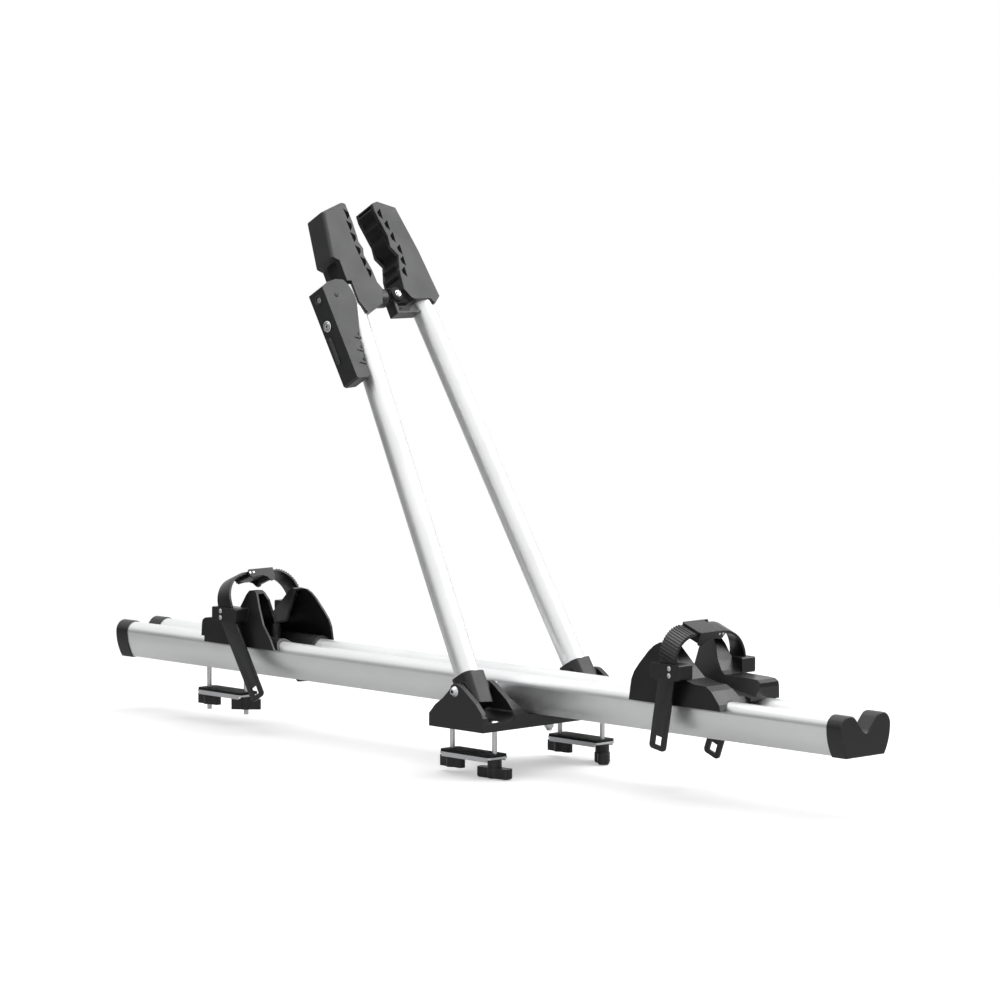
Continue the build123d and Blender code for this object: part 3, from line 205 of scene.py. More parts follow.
world = bpy.data.worlds.new("studio")
scene.world = world
world.use_nodes = True
tree = world.node_tree
tree.nodes.clear()
output = tree.nodes.new("ShaderNodeOutputWorld")
rays = add(tree, "LightPath")
seen = sums(tree, "MAXIMUM", rays.outputs["Is Camera Ray"], rays.outputs["Is Transmission Ray"])
mirrored = rays.outputs["Is Glossy Ray"]
direction = add(tree, "TexCoord").outputs["Generated"]
climb = add(tree, "SeparateXYZ", {0: direction}).outputs["Z"]
low_down = ramp(tree, climb, low_until, low_gone, 1.0, 0.0, smooth=True)


def side_mask(side, start, full):
    """How far a direction looks toward one low side of the room."""
    facing = add(tree, "VectorMath", {0: direction, 1: side}, operation="DOT_PRODUCT").outputs["Value"]
    return sums(tree, "MULTIPLY", ramp(tree, facing, start, full, smooth=True), low_down)


dark = sums(tree, "MULTIPLY", side_mask(dark_side, 0.15, 0.9), dark_depth)
dim = sums(tree, "MULTIPLY", side_mask(dim_side, 0.3, 0.9), dim_depth)
room = sums(tree, "MULTIPLY", sums(tree, "SUBTRACT", 1.0, dark), sums(tree, "SUBTRACT", 1.0, dim))
from_above = ramp(tree, climb, -0.1, 0.6, light_below, light_above, smooth=True)
faint = sums(tree, "MULTIPLY", room, from_above)
dull = add(tree, "Background", {"Color": (1, 1, 1), "Strength": faint})
mirror = add(tree, "Background", {"Color": (1, 1, 1), "Strength": room})
white = add(tree, "Background", {"Color": (1, 1, 1), "Strength": 1.0})
lit = add(tree, "MixShader", {0: mirrored, 1: dull.outputs[0], 2: mirror.outputs[0]})
shown = add(tree, "MixShader", {0: seen, 1: lit.outputs[0], 2: white.outputs[0]})
fill(tree, output, {"Surface": shown.outputs[0]})


def area_lamp(name, spot, aim, size, power):
    """A rectangular lamp that the camera doesn't see."""
    data = bpy.data.lights.new(name, "AREA")
    data.shape = "RECTANGLE"
    data.size, data.size_y = size
    data.energy = power
    lamp = bpy.data.objects.new(name, data)
    lamp.location = spot
    lamp.rotation_euler = (Vector(spot) - Vector(aim)).to_track_quat("Z", "Y").to_euler()
    lamp.visible_camera = False
    scene.collection.objects.link(lamp)


middle = (0, 0, 0.25)
area_lamp("high_key", (1.15, 1.7, 1.75), middle, (2.0, 1.6), 34.0)
area_lamp("top_light", (-0.2, 0.1, 2.6), middle, (2.6, 2.0), 40.0)
print("lamps:", [lamp.name for lamp in bpy.data.lights])

# %% [markdown]
# Four effects are shared by several finishes, so each is a node group that any material can
# hold. The first is what light does at a moulded or machined edge: no real edge is sharp,
# it has a small round that catches the light. The group also gives an edge mask, broken up
# by noise, that paints a paler edge highlight into a finish's colour.

# %% Soft edges group
def new_group(name, inputs, outputs):
    """A shader node group with named sockets; returns its tree, input and output nodes."""
    group = bpy.data.node_groups.new(name, "ShaderNodeTree")
    for label, kind, value in inputs:
        socket = group.interface.new_socket(label, in_out="INPUT", socket_type="NodeSocket" + kind)
        if value is not None:
            socket.default_value = value
    for label, kind in outputs:
        group.interface.new_socket(label, in_out="OUTPUT", socket_type="NodeSocket" + kind)
    return group, group.nodes.new("NodeGroupInput"), group.nodes.new("NodeGroupOutput")


soft_edges, given, result = new_group(
    "soft_edges",
    [("Radius", "Float", 0.0008), ("Highlight Noise Scale", "Float", 180.0)],
    [("Normal", "Vector"), ("Edge", "Float"), ("Edge Highlight", "Float")],
)
rounded = add(soft_edges, "Bevel", {"Radius": given.outputs["Radius"]}, samples=4).outputs[0]
true_normal = add(soft_edges, "NewGeometry").outputs["Normal"]
agree = add(soft_edges, "VectorMath", {0: rounded, 1: true_normal},
            operation="DOT_PRODUCT").outputs["Value"]
edge = ramp(soft_edges, agree, 0.999, 0.9)
where = add(soft_edges, "TexCoord").outputs["Object"]
spot_noise = add(soft_edges, "TexNoise", {
    "Vector": where, "Scale": given.outputs["Highlight Noise Scale"], "Detail": 3.0,
}).outputs["Fac"]
# the noisy edge mask that paints a paler edge highlight into a finish's colour
edge_highlight = sums(soft_edges, "MULTIPLY", edge, ramp(soft_edges, spot_noise, 0.42, 0.62))
fill(soft_edges, result, {"Normal": rounded, "Edge": edge, "Edge Highlight": edge_highlight})

# %% [markdown]
# The second is the fine grain that a moulding tool leaves: a spark-eroded texture of tiny
# pits, finer than half a millimetre, with slow waves where the plastic cooled unevenly.

# %% Moulded grain group
moulded_grain, given, result = new_group(
    "moulded_grain",
    [("Grain Scale", "Float", 2600.0), ("Wave Scale", "Float", 26.0)],
    [("Height", "Float"), ("Gloss", "Float"), ("Tone", "Float")],
)
where = add(moulded_grain, "TexCoord").outputs["Object"]
pits = add(moulded_grain, "TexNoise", {
    "Vector": where, "Scale": given.outputs["Grain Scale"], "Detail": 2.0,
}).outputs["Fac"]
waves = add(moulded_grain, "TexNoise", {
    "Vector": where, "Scale": given.outputs["Wave Scale"], "Detail": 3.0,
}).outputs["Fac"]
height = sums(moulded_grain, "ADD", pits, sums(moulded_grain, "MULTIPLY", waves, 0.8))
gloss = ramp(moulded_grain, waves, 0.3, 0.7)
tone = sums(
    moulded_grain, "ADD",
    sums(moulded_grain, "MULTIPLY", gloss, 0.6),
    sums(moulded_grain, "MULTIPLY", pits, 0.4),
)
fill(moulded_grain, result, {"Height": height, "Gloss": gloss, "Tone": tone})

# %% [markdown]
# The third is the fine line pattern of drawn and anodised metal. Extruded rails and drawn
# tubes carry faint lines along their length, so the noise is stretched that way.

# %% Drawn metal group
drawn_metal, given, result = new_group(
    "drawn_metal",
    [("Turn", "Vector", (0.0, 0.0, 0.0)), ("Line Scale", "Float", 1400.0)],
    [("Height", "Float"), ("Gloss", "Float"), ("Tone", "Float")],
)
where = add(drawn_metal, "TexCoord").outputs["Object"]
turned = add(drawn_metal, "VectorRotate", {"Vector": where, "Rotation": given.outputs["Turn"]},
             rotation_type="EULER_XYZ").outputs[0]
stretched = add(drawn_metal, "VectorMath", {0: turned, 1: (0.012, 1.0, 1.0)},
                operation="MULTIPLY").outputs[0]
lines = add(drawn_metal, "TexNoise", {
    "Vector": stretched, "Scale": given.outputs["Line Scale"], "Detail": 2.0,
})
bands = add(drawn_metal, "TexNoise", {"Vector": stretched, "Scale": 160.0, "Detail": 2.0})
clouds = add(drawn_metal, "TexNoise", {"Vector": where, "Scale": 14.0, "Detail": 4.0})
gloss = sums(
    drawn_metal, "ADD",
    sums(drawn_metal, "MULTIPLY", bands.outputs["Fac"], 0.55),
    sums(drawn_metal, "MULTIPLY", clouds.outputs["Fac"], 0.45),
)
fill(drawn_metal, result, {
    "Height": lines.outputs["Fac"],
    "Gloss": ramp(drawn_metal, gloss, 0.35, 0.65),
    "Tone": ramp(drawn_metal, clouds.outputs["Fac"], 0.35, 0.65),
})

# %% [markdown]
# The fourth is what handling leaves behind: a thin film of dust that settles on faces that
# look up, and here and there a short scuff. It is kept faint, because the piece is new.

# %% Dust group
dust_film, given, result = new_group(
    "dust_film",
    [("Amount", "Float", 1.0)],
    [("Dust", "Float"), ("Scuff", "Float")],
)
where = add(dust_film, "TexCoord").outputs["Object"]
normal = add(dust_film, "NewGeometry").outputs["Normal"]
up = add(dust_film, "SeparateXYZ", {0: normal}).outputs["Z"]
lying = ramp(dust_film, up, 0.2, 1.0)
fluff = add(dust_film, "TexNoise", {
    "Vector": where, "Scale": 900.0, "Detail": 4.0, "Roughness": 0.7,
}).outputs["Fac"]
patch = add(dust_film, "TexNoise", {"Vector": where, "Scale": 40.0, "Detail": 2.0}).outputs["Fac"]
flecks = ramp(dust_film, fluff, 0.52, 0.75)
patches = ramp(dust_film, patch, 0.4, 0.65)
film = sums(dust_film, "MULTIPLY", flecks, patches)
film = sums(dust_film, "MULTIPLY", sums(dust_film, "MULTIPLY", film, lying), given.outputs["Amount"])
scratch = add(dust_film, "VectorMath", {0: where, 1: (1.0, 7.0, 3.0)}, operation="MULTIPLY").outputs[0]
scuff = add(dust_film, "TexNoise", {
    "Vector": scratch, "Scale": 120.0, "Detail": 6.0, "Roughness": 0.75,
}).outputs["Fac"]
scuffed = sums(dust_film, "MULTIPLY", ramp(dust_film, scuff, 0.66, 0.72), given.outputs["Amount"])
fill(dust_film, result, {"Dust": film, "Scuff": scuffed})
print("node groups:", [group.name for group in bpy.data.node_groups])

# %% [markdown]
# All the plastics are one idea with different numbers: a nearly black body, moulded grain,
# soft edges with a paler edge highlight painted along them, and dust. The gloss changes slowly
# over the surface, which is what tells plastic from painted metal.

# %% Plastic and rubber finishes
finishes = {}
shade_share, scuff_share, dust_share, dust_dulls = 0.72, 0.25, 0.3, 0.25
dust_on_plastic = (0.30, 0.29, 0.28)
jet_black = (0.013, 0.0133, 0.0138)


def place_group(tree, group, sockets):
    """Put one of the shared groups into a material's tree."""
    node = tree.nodes.new("ShaderNodeGroup")
    node.node_tree = group
    fill(tree, node, sockets)
    return node


def moulded(name, color, pale, gloss, grain=2600.0, pit=0.00003, edge=0.0007, specular=0.5,
            edge_highlight=0.5, dust=1.0):
    """A moulded plastic or rubber: gloss is the roughness at its shiniest and its dullest."""
    material, tree, output = new_material(name)
    skin = place_group(tree, moulded_grain, {"Grain Scale": grain})
    edges = place_group(tree, soft_edges, {"Radius": edge})
    film = place_group(tree, dust_film, {"Amount": dust})
    shade = tuple(c * shade_share for c in color)
    body = mix_color(tree, skin.outputs["Tone"], shade, color)
    # painted edge highlight: the noisy edge mask mixes the colour toward the pale tone
    edge_highlighted = mix_color(tree, sums(tree, "MULTIPLY", edges.outputs["Edge Highlight"], edge_highlight), body, pale)
    scuffed = mix_color(tree, sums(tree, "MULTIPLY", film.outputs["Scuff"], scuff_share), edge_highlighted, pale)
    covered = sums(tree, "MULTIPLY", film.outputs["Dust"], dust_share)
    dusty = mix_color(tree, covered, scuffed, dust_on_plastic)
    rough = ramp(tree, skin.outputs["Gloss"], 0.0, 1.0, gloss[0], gloss[1])
    rough = sums(tree, "ADD", rough, sums(tree, "MULTIPLY", film.outputs["Dust"], dust_dulls), clamp=True)
    bump = add(tree, "Bump", {
        "Height": skin.outputs["Height"], "Distance": pit, "Strength": 1.0,
        "Normal": edges.outputs["Normal"],
    })
    surface = add(tree, "BsdfPrincipled", {
        "Base Color": dusty, "Roughness": rough, "Specular IOR Level": specular, "Normal": bump.outputs[0],
    })
    fill(tree, output, {"Surface": surface.outputs[0]})
    finishes[name] = material


moulded("black_plastic", jet_black, (0.13, 0.13, 0.13), (0.32, 0.44))
moulded("tray_plastic", jet_black, (0.12, 0.12, 0.12), (0.29, 0.40), grain=2100.0)
moulded("grey_black_plastic", (0.030, 0.031, 0.032), (0.17, 0.17, 0.17), (0.36, 0.48),
        grain=1900.0, edge=0.0012)
moulded("strap_plastic", (0.016, 0.0165, 0.017), (0.12, 0.12, 0.12), (0.27, 0.38),
        grain=1500.0, edge=0.0004)
moulded("black_rubber", (0.010, 0.010, 0.0105), (0.06, 0.06, 0.06), (0.60, 0.78), grain=1800.0, pit=0.00006,
        specular=0.3, edge_highlight=0.3)
moulded("insert_grey_and_highlight", (0.085, 0.087, 0.09), (0.22, 0.22, 0.22), (0.50, 0.62), grain=2200.0, edge=0.0005)
# A near-black finish that paints the shade inside holes, slots and windows.
moulded("painted_hole_shade", (0.003, 0.003, 0.003), (0.01, 0.01, 0.01), (0.80, 0.92), grain=1400.0, edge=0.0003,
        specular=0.08, dust=0.1)
print("moulded finishes:", sorted(finishes))

# %% [markdown]
# The rail and the two arms are aluminium with a silver anodised skin. It is a metal, but a
# milky one: the oxide layer scatters light, so reflections are broad and soft. Fine lines
# run along each extrusion. The tubes lean back, so their lines are turned with them.

# %% Metal finishes
arm_lean = math.radians(29.2)
silver = (0.90, 0.905, 0.91)
dust_on_metal = (0.55, 0.54, 0.52)
metal_dust_share = 0.25


def metal(name, color, dark, gloss, turn=(0.0, 0.0, 0.0), lines=1400.0, depth=0.000004, edge=0.0004,
          dust=0.6, metallic=1.0):
    """A bare, plated or anodised metal with faint drawn lines."""
    material, tree, output = new_material(name)
    skin = place_group(tree, drawn_metal, {"Turn": turn, "Line Scale": lines})
    edges = place_group(tree, soft_edges, {"Radius": edge})
    film = place_group(tree, dust_film, {"Amount": dust})
    body = mix_color(tree, skin.outputs["Tone"], dark, color)
    covered = sums(tree, "MULTIPLY", film.outputs["Dust"], metal_dust_share)
    dusty = mix_color(tree, covered, body, dust_on_metal)
    rough = ramp(tree, skin.outputs["Gloss"], 0.0, 1.0, gloss[0], gloss[1])
    bump = add(tree, "Bump", {
        "Height": skin.outputs["Height"], "Distance": depth, "Strength": 1.0,
        "Normal": edges.outputs["Normal"],
    })
    surface = add(tree, "BsdfPrincipled", {
        "Base Color": dusty, "Roughness": rough, "Metallic": metallic, "Normal": bump.outputs[0],
    })
    fill(tree, output, {"Surface": surface.outputs[0]})
    finishes[name] = material


metal("rail_aluminium", silver, (0.85, 0.855, 0.86), (0.33, 0.42), metallic=0.85)
metal("arm_aluminium", silver, (0.86, 0.865, 0.87), (0.33, 0.42),
      turn=(0.0, math.pi / 2 - arm_lean, 0.0), metallic=0.85)
metal("zinc_steel", (0.74, 0.745, 0.75), (0.62, 0.63, 0.65), (0.26, 0.40), lines=900.0)
metal("chrome", (0.86, 0.865, 0.87), (0.80, 0.805, 0.81), (0.08, 0.14), lines=600.0, depth=0.000001)
print("all finishes:", sorted(finishes))

# %% [markdown]
# Each CAD node takes the finish of its slot in the record. The trays, the rail and the arms
# have one of their own, so that their grain and lines can follow the way they were made.

# %% Dress the CAD nodes
own_finish = {"rail": "rail_aluminium", "near_tube": "arm_aluminium", "far_tube": "arm_aluminium",
              "front_wheel_tray": "tray_plastic", "rear_wheel_tray": "tray_plastic"}
for part in frame["record"]["subparts"]:
    name = part["node"]
    finish = own_finish.get(name, part["material_slot"])
    skins = nodes[name].data.materials
    skins.clear()
    skins.append(finishes[finish])

# %% [markdown]
# The small pieces that follow are too fine for the CAD model. Each is built as a mesh in
# millimetres and put on the piece that carries it. One helper turns a finished form into
# an object: it gives it a finish, smooths it where its faces meet at a low angle, and makes
# it ride on its body, so that it moves when the real piece would. The other helpers draw
# prisms and turned shapes and set them down, most of them by distances along the two arms.

# %% Piece helpers
lean_sin, lean_cos = math.sin(arm_lean), math.cos(arm_lean)
facing = Vector((lean_cos, 0.0, lean_sin))
upward = Vector((-lean_sin, 0.0, lean_cos))
arm_pivot = Vector((-2.0, 0.0, 45.0))
arm_side = 90.0
rod_up = 519.0
outward = (0, -1, 0)
bevel_above, crease_above = math.radians(30.0), math.radians(35.0)
weld_gap = 0.0005
dressings = []


def arm_point(out, across, up):
    """A point in mm: out of the arms' front, across the car, and up along the arms."""
    return arm_pivot + facing * out + Vector((0.0, across, 0.0)) + upward * up


def finish_piece(name, form, finish, body, round_edge=0.0):
    """Turn a form in mm into a dressed object that rides on a body."""
    bmesh.ops.remove_doubles(form, verts=form.verts, dist=weld_gap)
    bmesh.ops.dissolve_degenerate(form, edges=form.edges, dist=weld_gap)
    bmesh.ops.recalc_face_normals(form, faces=form.faces)
    if round_edge:
        sharp = [e for e in form.edges if e.is_manifold and e.calc_face_angle(0.0) > bevel_above]
        bmesh.ops.bevel(form, geom=sharp, offset=round_edge, segments=2, profile=0.6, affect="EDGES",
                        clamp_overlap=True)
    bmesh.ops.scale(form, vec=(mm, mm, mm), verts=form.verts)
    mesh = bpy.data.meshes.new(name)
    form.to_mesh(mesh)
    form.free()
    for face in mesh.polygons:
        face.use_smooth = True
    mesh.set_sharp_from_angle(angle=crease_above)
    mesh.materials.append(finishes[finish])
    piece = bpy.data.objects.new(name, mesh)
    scene.collection.objects.link(piece)
    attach(piece, body)
    dressings.append(name)
    return piece


def add_prism(form, outline, low, high):
    """A closed outline of (x, y) points, drawn out from one height to another."""
    floor_ring = [form.verts.new((x, y, low)) for x, y in outline]
    roof_ring = [form.verts.new((x, y, high)) for x, y in outline]
    form.faces.new(list(reversed(floor_ring)))
    form.faces.new(roof_ring)
    for k in range(len(outline)):
        n = (k + 1) % len(outline)
        form.faces.new((floor_ring[k], floor_ring[n], roof_ring[n], roof_ring[k]))


def add_turned(form, outline, sides):
    """A closed outline of (radius, height) points, spun about the Z axis."""
    turns = [2 * math.pi * k / sides for k in range(sides)]
    rings = []
    for radius, height in outline:
        spun = [(radius * math.cos(t), radius * math.sin(t), height) for t in turns]
        rings.append([form.verts.new(point) for point in spun])
    for ring, after in zip(rings, rings[1:] + rings[:1]):
        for k in range(sides):
            n = (k + 1) % sides
            form.faces.new((ring[k], ring[n], after[n], after[k]))


def set_down(form, spot, axis, along=None):
    """Move a form from the origin to its spot, with its Z axis turned to another axis."""
    axis = Vector(axis).normalized()
    if along is None:
        turn = axis.to_track_quat("Z", "Y").to_matrix()
    else:
        side = Vector(along).normalized()
        turn = Matrix((side, axis.cross(side), axis)).transposed()
    bmesh.ops.transform(form, matrix=Matrix.Translation(spot) @ turn.to_4x4(), verts=form.verts)


def turned_piece(name, outline, sides, spot, axis, finish, body):
    """A spun form, set down at its spot and finished."""
    form = bmesh.new()
    add_turned(form, outline, sides)
    set_down(form, spot, axis)
    finish_piece(name, form, finish, body)


def join_form(form, part):
    """Add the faces of a small form to a larger one, then let the small one go."""
    spare = bpy.data.meshes.new("spare")
    part.to_mesh(spare)
    part.free()
    form.from_mesh(spare)
    bpy.data.meshes.remove(spare)


def rounded_box(wide, tall, corner, steps=5):
    """The outline of a flat box with round corners."""
    points = []
    for turn, (x, y) in enumerate(((1, 1), (-1, 1), (-1, -1), (1, -1))):
        for k in range(steps + 1):
            t = math.pi / 2 * (turn + k / steps)
            points.append((x * (wide / 2 - corner) + corner * math.cos(t),
                           y * (tall / 2 - corner) + corner * math.sin(t)))
    return points


print("arms pivot at", list(arm_pivot), "mm, and lean", round(math.degrees(arm_lean), 1), "degrees")

# %% [markdown]
# The straps are soft plastic bands and the pads are ribbed rubber. Their CAD solids have the
# right course and thickness, but knife edges. A moulded band has rounded edges that carry a
# thin line of light, so each is rebuilt: the flat faces of the CAD form are joined up, and
# every sharp edge is cut back to a small round.

# %% Straps and rubber pads
facet_gap = 0.002
flat_within = math.radians(1.0)


def soft_copy(node, name, finish, body, round_edge):
    """Rebuild a soft CAD solid with rounded edges; it then stands for the CAD node."""
    form = bmesh.new()
    form.from_mesh(nodes[node].data)
    bmesh.ops.scale(form, vec=(1 / mm, 1 / mm, 1 / mm), verts=form.verts)
    bmesh.ops.remove_doubles(form, verts=form.verts, dist=facet_gap)
    bmesh.ops.dissolve_limit(form, angle_limit=flat_within, verts=form.verts, edges=form.edges)
    piece = finish_piece(name, form, finish, body, round_edge)
    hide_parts(node)


for side in ("front", "rear"):
    soft_copy(side + "_toothed_strap", side + "_ribbed_band", "strap_plastic", side + "_tray", 0.35)
    soft_copy(side + "_plain_strap", side + "_smooth_band", "strap_plastic", side + "_tray", 0.5)
for place in ("near_front", "far_front", "rear"):
    soft_copy(place + "_clamp_pad", place + "_grip_pad", "black_rubber", place + "_clamp", 0.3)
soft_copy("near_pad", "near_jaw_lining", "black_rubber", "near_arm", 0.5)
soft_copy("far_pad", "far_jaw_lining", "black_rubber", "far_arm", 0.5)
print("soft pieces:", len(dressings))

# %% [markdown]
# The clamp studs are threaded steel. A thread is a helix: a small ridge that climbs one
# millimetre a turn. It is drawn on the bare lengths of each stud, above the clamp plates and
# below the wing nuts, where it can be seen.

# %% Threads on the studs
def add_thread(form, x, y, top, bottom, root=2.9, crest=3.04, pitch=1.0, sides=14):
    """A helical ridge round an upright stud, from its top down to its bottom."""
    count = int((top - bottom) / pitch * sides)
    rows = []
    for k in range(count + 1):
        t = 2 * math.pi * k / sides
        fade = min(1.0, k / sides, (count - k) / sides)
        z = top - pitch * k / sides
        peak = root + (crest - root) * fade
        row = [(root, z), (peak, z - pitch * 0.4), (peak, z - pitch * 0.6), (root, z - pitch)]
        rows.append([form.verts.new((x + r * math.cos(t), y + r * math.sin(t), h)) for r, h in row])
    for row, after in zip(rows, rows[1:]):
        for a in range(3):
            form.faces.new((row[a], row[a + 1], after[a + 1], after[a]))


stud_out = 36.5
rear_bar_x = -557.5
stud_spots = {
    "near_front": [(stud_out, -arm_side), (-stud_out, -arm_side)],
    "far_front": [(stud_out, arm_side), (-stud_out, arm_side)],
    "rear": [(rear_bar_x - stud_out, 0.0), (rear_bar_x + stud_out, 0.0)],
}
front_over_plate, front_under_nut = (-0.5, -27.5), (-47.8, -49.4)
rear_over_plate, rear_under_nut = (11.0, -15.5), (-35.8, -44.2)
for place, studs in stud_spots.items():
    form = bmesh.new()
    for x, y in studs:
        if place == "rear":
            bare_lengths = [rear_over_plate, rear_under_nut]
        elif x < 0:
            bare_lengths = [front_over_plate, front_under_nut]
        else:
            bare_lengths = [front_over_plate]
        for top, bottom in bare_lengths:
            add_thread(form, x, y, top, bottom)
    finish_piece(place + "_stud_threads", form, "zinc_steel", "carrier")
print("threads on", sum(len(studs) for studs in stud_spots.values()), "studs")

# %% [markdown]
# A screw is known by its drive. Each pivot bolt has a round head with a hexagon socket. The
# socket is drawn as a pressed rim with a near-black hexagon a little below its edge, painted
# shade that stands for the depth of the hole, so no hole has to be cut into the CAD head.

# %% Socket drives
rim_share, socket_share = 1.35, 1.03
bolt_head_out = 123.0
hexagon_wide = 3.6


def socket_drive(name, spot, axis, size, body):
    """A round rim with a hexagon opening, and a near-black hexagon painted as the shade in the socket."""
    form = bmesh.new()
    sides, rim = 36, size * rim_share / 2
    rows = []
    for k in range(sides):
        t = 2 * math.pi * k / sides
        flat = size / 2 / math.cos((t % (math.pi / 3)) - math.pi / 6)
        ring = [(rim, 0.0), (rim - 0.1, 0.22), (flat + 0.12, 0.26), (flat, 0.18), (flat, 0.0)]
        rows.append([form.verts.new((r * math.cos(t), r * math.sin(t), h)) for r, h in ring])
    for k in range(sides):
        row, after = rows[k], rows[(k + 1) % sides]
        for a in range(4):
            form.faces.new((row[a], after[a], after[a + 1], row[a + 1]))
    set_down(form, spot, axis)
    finish_piece(name + "_rim", form, "zinc_steel", body)
    # near-black hexagon: painted shade for the depth of the socket
    form = bmesh.new()
    reach = size / math.sqrt(3) * socket_share
    corners = [(reach * math.cos(math.pi * k / 3), reach * math.sin(math.pi * k / 3)) for k in range(6)]
    add_prism(form, corners, -0.2, 0.06)
    set_down(form, spot, axis)
    finish_piece(name + "_socket", form, "painted_hole_shade", body, 0.03)


for side, way in (("near", -1), ("far", 1)):
    head = arm_pivot + Vector((0.0, way * bolt_head_out, 0.0))
    socket_drive(side + "_pivot_drive", head, (0, way, 0), hexagon_wide, "carrier")
print("drives at", bolt_head_out, "mm out from the middle")

# %% [markdown]
# The lock is a turned brass cylinder with a chromed face: a raised rim, a shallow dish and a
# narrow key slot. The slot is a near-black prism, painted shade in place of a cut slot. The rim
# sits in the lever, while the dish and slot turn with the lock.

# %% Lock face and its rim
lever_side = 110.0
lock_up = 484.0
lock_stands = 1.0
lock_spot = arm_point(1.0, -lever_side, lock_up)
rim_outline = [(5.15, -0.4), (6.9, -0.4), (6.9, 0.1), (6.6, 0.45), (6.2, 0.7), (5.6, 0.75), (5.2, 0.5)]
turned_piece("lock_rim", rim_outline, 56, lock_spot, outward, "chrome", "lever")
face_spot = lock_spot + Vector((0, -lock_stands, 0))
dish_outline = [(2.3, -0.2), (4.9, -0.2), (4.95, 0.25), (4.7, 0.42),
                (4.3, 0.42), (3.4, 0.16), (2.7, 0.1), (2.4, 0.3)]
turned_piece("lock_dish", dish_outline, 56, face_spot, outward, "chrome", "lock")
# key slot: a near-black prism, painted shade in place of a cut slot
form = bmesh.new()
add_prism(form, rounded_box(1.1, 3.9, 0.5), -0.1, 0.14)
set_down(form, face_spot, outward, upward)
finish_piece("key_slot_shade", form, "painted_hole_shade", "lock", 0.03)
print("lock face at", [round(c, 1) for c in face_spot])

# %% [markdown]
# The lever is held with the whole hand, so its maker gave it grips. A long soft insert lies in
# the recess of its outer face; its paler grey is partly its own colour and partly a painted
# highlight along the recess. Three short tapered ribs under the thumb grooves keep the
# thumb from sliding. A round bezel frames the window through which a bright pin end is seen,
# and a small cap covers the lever's own pin.

# %% Grips on the lever
insert_ridges, ridge_step, ridge_half, ridge_out = 9, 3.5, 0.7, 2.0
insert_up, recess_side = 452.5, 108.0
lever_face, pin_side = 17.0, 92.0
window_out, pin_end_side = 2.0, 108.4

# the insert's paler grey is partly its own colour and partly a painted highlight along the recess
form = bmesh.new()
add_prism(form, rounded_box(5.4, 36.4, 2.6), 0.0, 1.3)
for k in range(insert_ridges):
    middle_up = ridge_step * (k - (insert_ridges - 1) / 2)
    low, high = middle_up - ridge_half, middle_up + ridge_half
    add_prism(form, [(-ridge_out, low), (ridge_out, low), (ridge_out, high), (-ridge_out, high)], 1.2, 1.7)
set_down(form, arm_point(-3.0, -recess_side, insert_up), outward, facing)
finish_piece("lever_insert", form, "insert_grey_and_highlight", "lever", 0.25)

bezel_outline = [(4.4, -1.6), (5.0, -1.6), (6.3, 0.05), (6.2, 0.35), (5.7, 0.5), (5.1, 0.35)]
turned_piece("lever_window_bezel", bezel_outline, 48, arm_point(window_out, -lever_side, rod_up), outward,
             "grey_black_plastic", "lever")
cover_outline = [(0.0, 0.12), (2.75, 0.12), (2.8, -0.3), (3.4, -0.3), (3.4, 0.15), (3.0, 0.42), (0.0, 0.55)]
turned_piece("lever_pin_cover", cover_outline, 36, arm_point(lever_face, -pin_side, rod_up), facing,
             "grey_black_plastic", "lever")
end_outline = [(0.0, -0.4), (3.7, -0.4), (3.9, 0.1), (3.3, 0.7), (1.6, 0.9), (0.0, 0.95)]
turned_piece("lever_pin_end", end_outline, 40, arm_point(window_out, -pin_end_side, rod_up), outward,
             "zinc_steel", "lever")

rib_outline = [(-9.5, -3.2), (0.6, -6.4), (0.9, -4.5), (0.6, -2.4)]
form = bmesh.new()
for across, up in ((-78.6, 464.0), (-82.0, 447.0), (-85.4, 430.0)):
    rib = bmesh.new()
    add_prism(rib, rib_outline, -0.4, 1.1)
    set_down(rib, arm_point(lever_face, across, up), facing, (0, 1, 0))
    join_form(form, rib)
finish_piece("thumb_ribs", form, "grey_black_plastic", "lever", 0.35)
print("lever dressed")

# %% [markdown]
# The soft jaw linings are held by lugs that come through windows in the jaws and show as dark
# triangles along the edge of each jaw. Each lug is a small near-black wedge, darker than the rubber,
# so it paints the shade in the window; it stands a hair above the plastic round it.

# %% Lining lugs in the jaw windows
jaw_face = 17.5
lug_outline = [(3.3, 7.6), (-3.7, 2.6), (-2.6, -2.6), (2.2, -7.4)]
near_lugs = [(-27.0, 628.0), (-29.5, 612.0), (-30.0, 596.0), (-30.0, 578.0), (-28.0, 562.0), (-25.5, 547.0)]
far_lugs = [(27.0, 627.0), (32.0, 611.0), (34.0, 594.0), (38.0, 577.0), (36.5, 561.0), (32.0, 546.0)]
for side, way, lugs in (("near", -1, near_lugs), ("far", 1, far_lugs)):
    form = bmesh.new()
    for turn in (1, -1):
        mirror_x = way * turn
        corners = [(mirror_x * x, y) for x, y in lug_outline]
        if mirror_x > 0:
            corners.reverse()
        for across, up in lugs:
            wedge = bmesh.new()
            add_prism(wedge, corners, -1.0, 0.12)
            set_down(wedge, arm_point(turn * jaw_face, across, up), facing * turn, Vector((0, turn, 0)))
            join_form(form, wedge)
    # near-black wedges: painted shade for the jaw windows
    finish_piece(side + "_lining_lug_shade", form, "painted_hole_shade", side + "_arm", 0.3)
print("lugs:", len(near_lugs) + len(far_lugs), "on each face")

# %% [markdown]
# Where the clamp rod ends in the far jaw, a cross nut holds it. Its bright end sits in a black
# rubber ring at the foot of the jaw. A black sleeve closes the gap round the near tube, in the
# notch over the lever, so the tube's bare end can't rattle there.

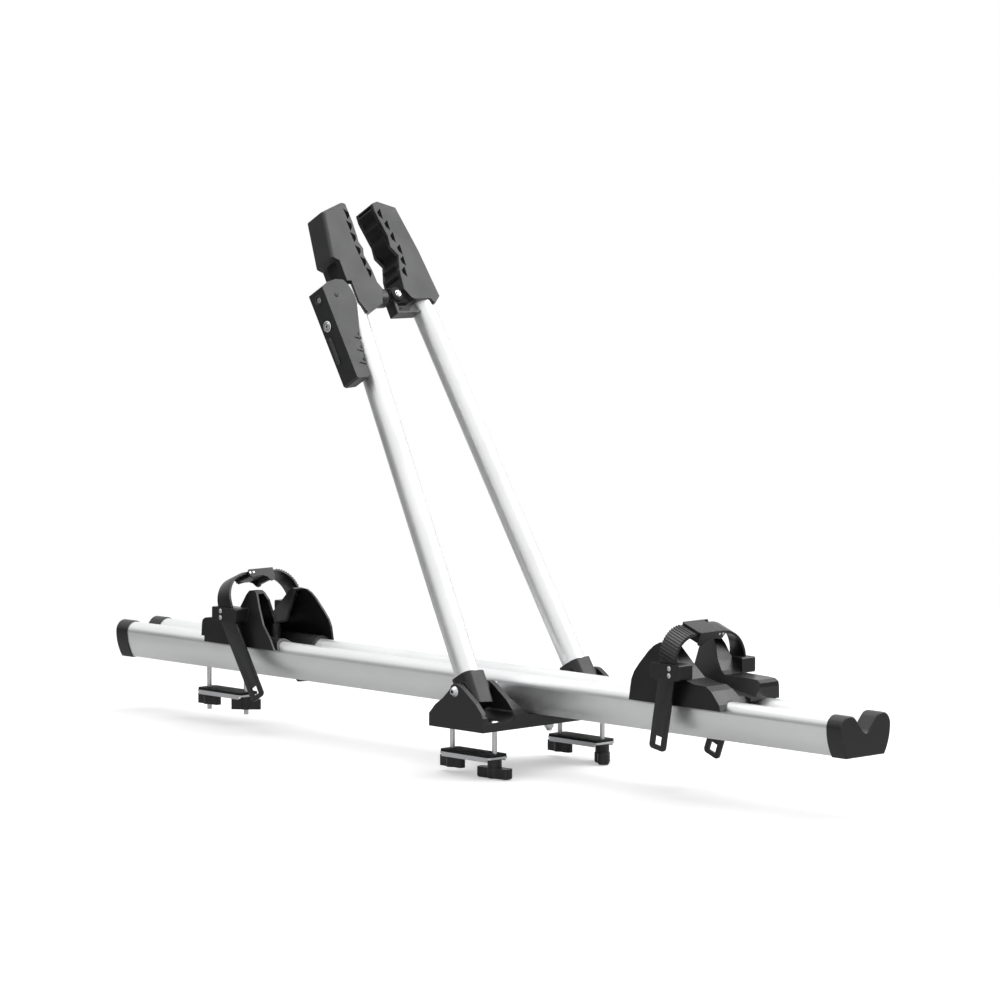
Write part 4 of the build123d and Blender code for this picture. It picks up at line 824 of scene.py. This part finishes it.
# %% Cross nut end and tube sleeve
nut_side = 13.0
nut_spot = arm_point(0.0, nut_side, rod_up)
ring_outline = [(4.6, 9.5), (9.2, 7.2), (9.6, 10.6), (8.9, 12.3), (7.2, 13.1), (5.4, 13.2), (4.7, 12.5)]
turned_piece("cross_nut_ring", ring_outline, 48, nut_spot, facing, "black_rubber", "far_arm")
nut_outline = [(0.0, 10.0), (4.5, 10.0), (4.6, 13.2), (4.0, 14.0), (2.4, 13.5), (1.2, 13.0), (0.0, 12.9)]
turned_piece("cross_nut_end", nut_outline, 40, nut_spot, facing, "chrome", "far_arm")

taper = 0.0641
sleeve_up = 550.0
sleeve_spot = arm_point(0.0, -(arm_side - taper * sleeve_up), sleeve_up)
sleeve_outline = [(15.12, -16.0), (15.6, -16.4), (15.9, -15.0), (15.9, 15.0), (15.5, 16.0), (15.12, 16.0)]
turned_piece("near_tube_sleeve", sleeve_outline, 56, sleeve_spot, upward + Vector((0.0, taper, 0.0)),
             "black_rubber", "near_arm")
print("cross nut at", [round(c, 1) for c in nut_spot], "and sleeve at", [round(c, 1) for c in sleeve_spot])

# %% [markdown]
# The channel that a foot stands in doesn't end in a square corner. It runs out in a rounded
# scoop, so that dirt washes out and the moulding doesn't crack. Two fillets along each
# channel give that scoop its round, and their edge takes the light as a thin pale line.

# %% Scoops in the base channels
def add_fillet(form, wall_y, way, floor_z, radius, front, back, steps=10):
    """A concave fillet between a floor and a wall, drawn along X."""
    profile = [(wall_y, floor_z), (wall_y + way * radius, floor_z)]
    for k in range(1, steps):
        t = math.pi / 2 * k / steps
        profile.append((wall_y + way * radius * (1 - math.sin(t)), floor_z + radius * (1 - math.cos(t))))
    profile.append((wall_y, floor_z + radius))
    near_ring = [form.verts.new((front, y, z)) for y, z in profile]
    far_ring = [form.verts.new((back, y, z)) for y, z in profile]
    form.faces.new(near_ring)
    form.faces.new(list(reversed(far_ring)))
    for k in range(len(profile)):
        n = (k + 1) % len(profile)
        form.faces.new((near_ring[k], near_ring[n], far_ring[n], far_ring[k]))


channel_half = 22.0
channel_floor = 8.0
scoop_radius = 14.0
scoop_front, scoop_back = 46.6, -30.0
for side, way in (("near", -1), ("far", 1)):
    form = bmesh.new()
    for wall, turn in ((arm_side + channel_half, -way), (arm_side - channel_half, way)):
        add_fillet(form, way * wall, turn, channel_floor, scoop_radius, scoop_front, scoop_back)
    finish_piece(side + "_channel_scoop", form, "black_plastic", "carrier")
print("pieces made here:", len(dressings))
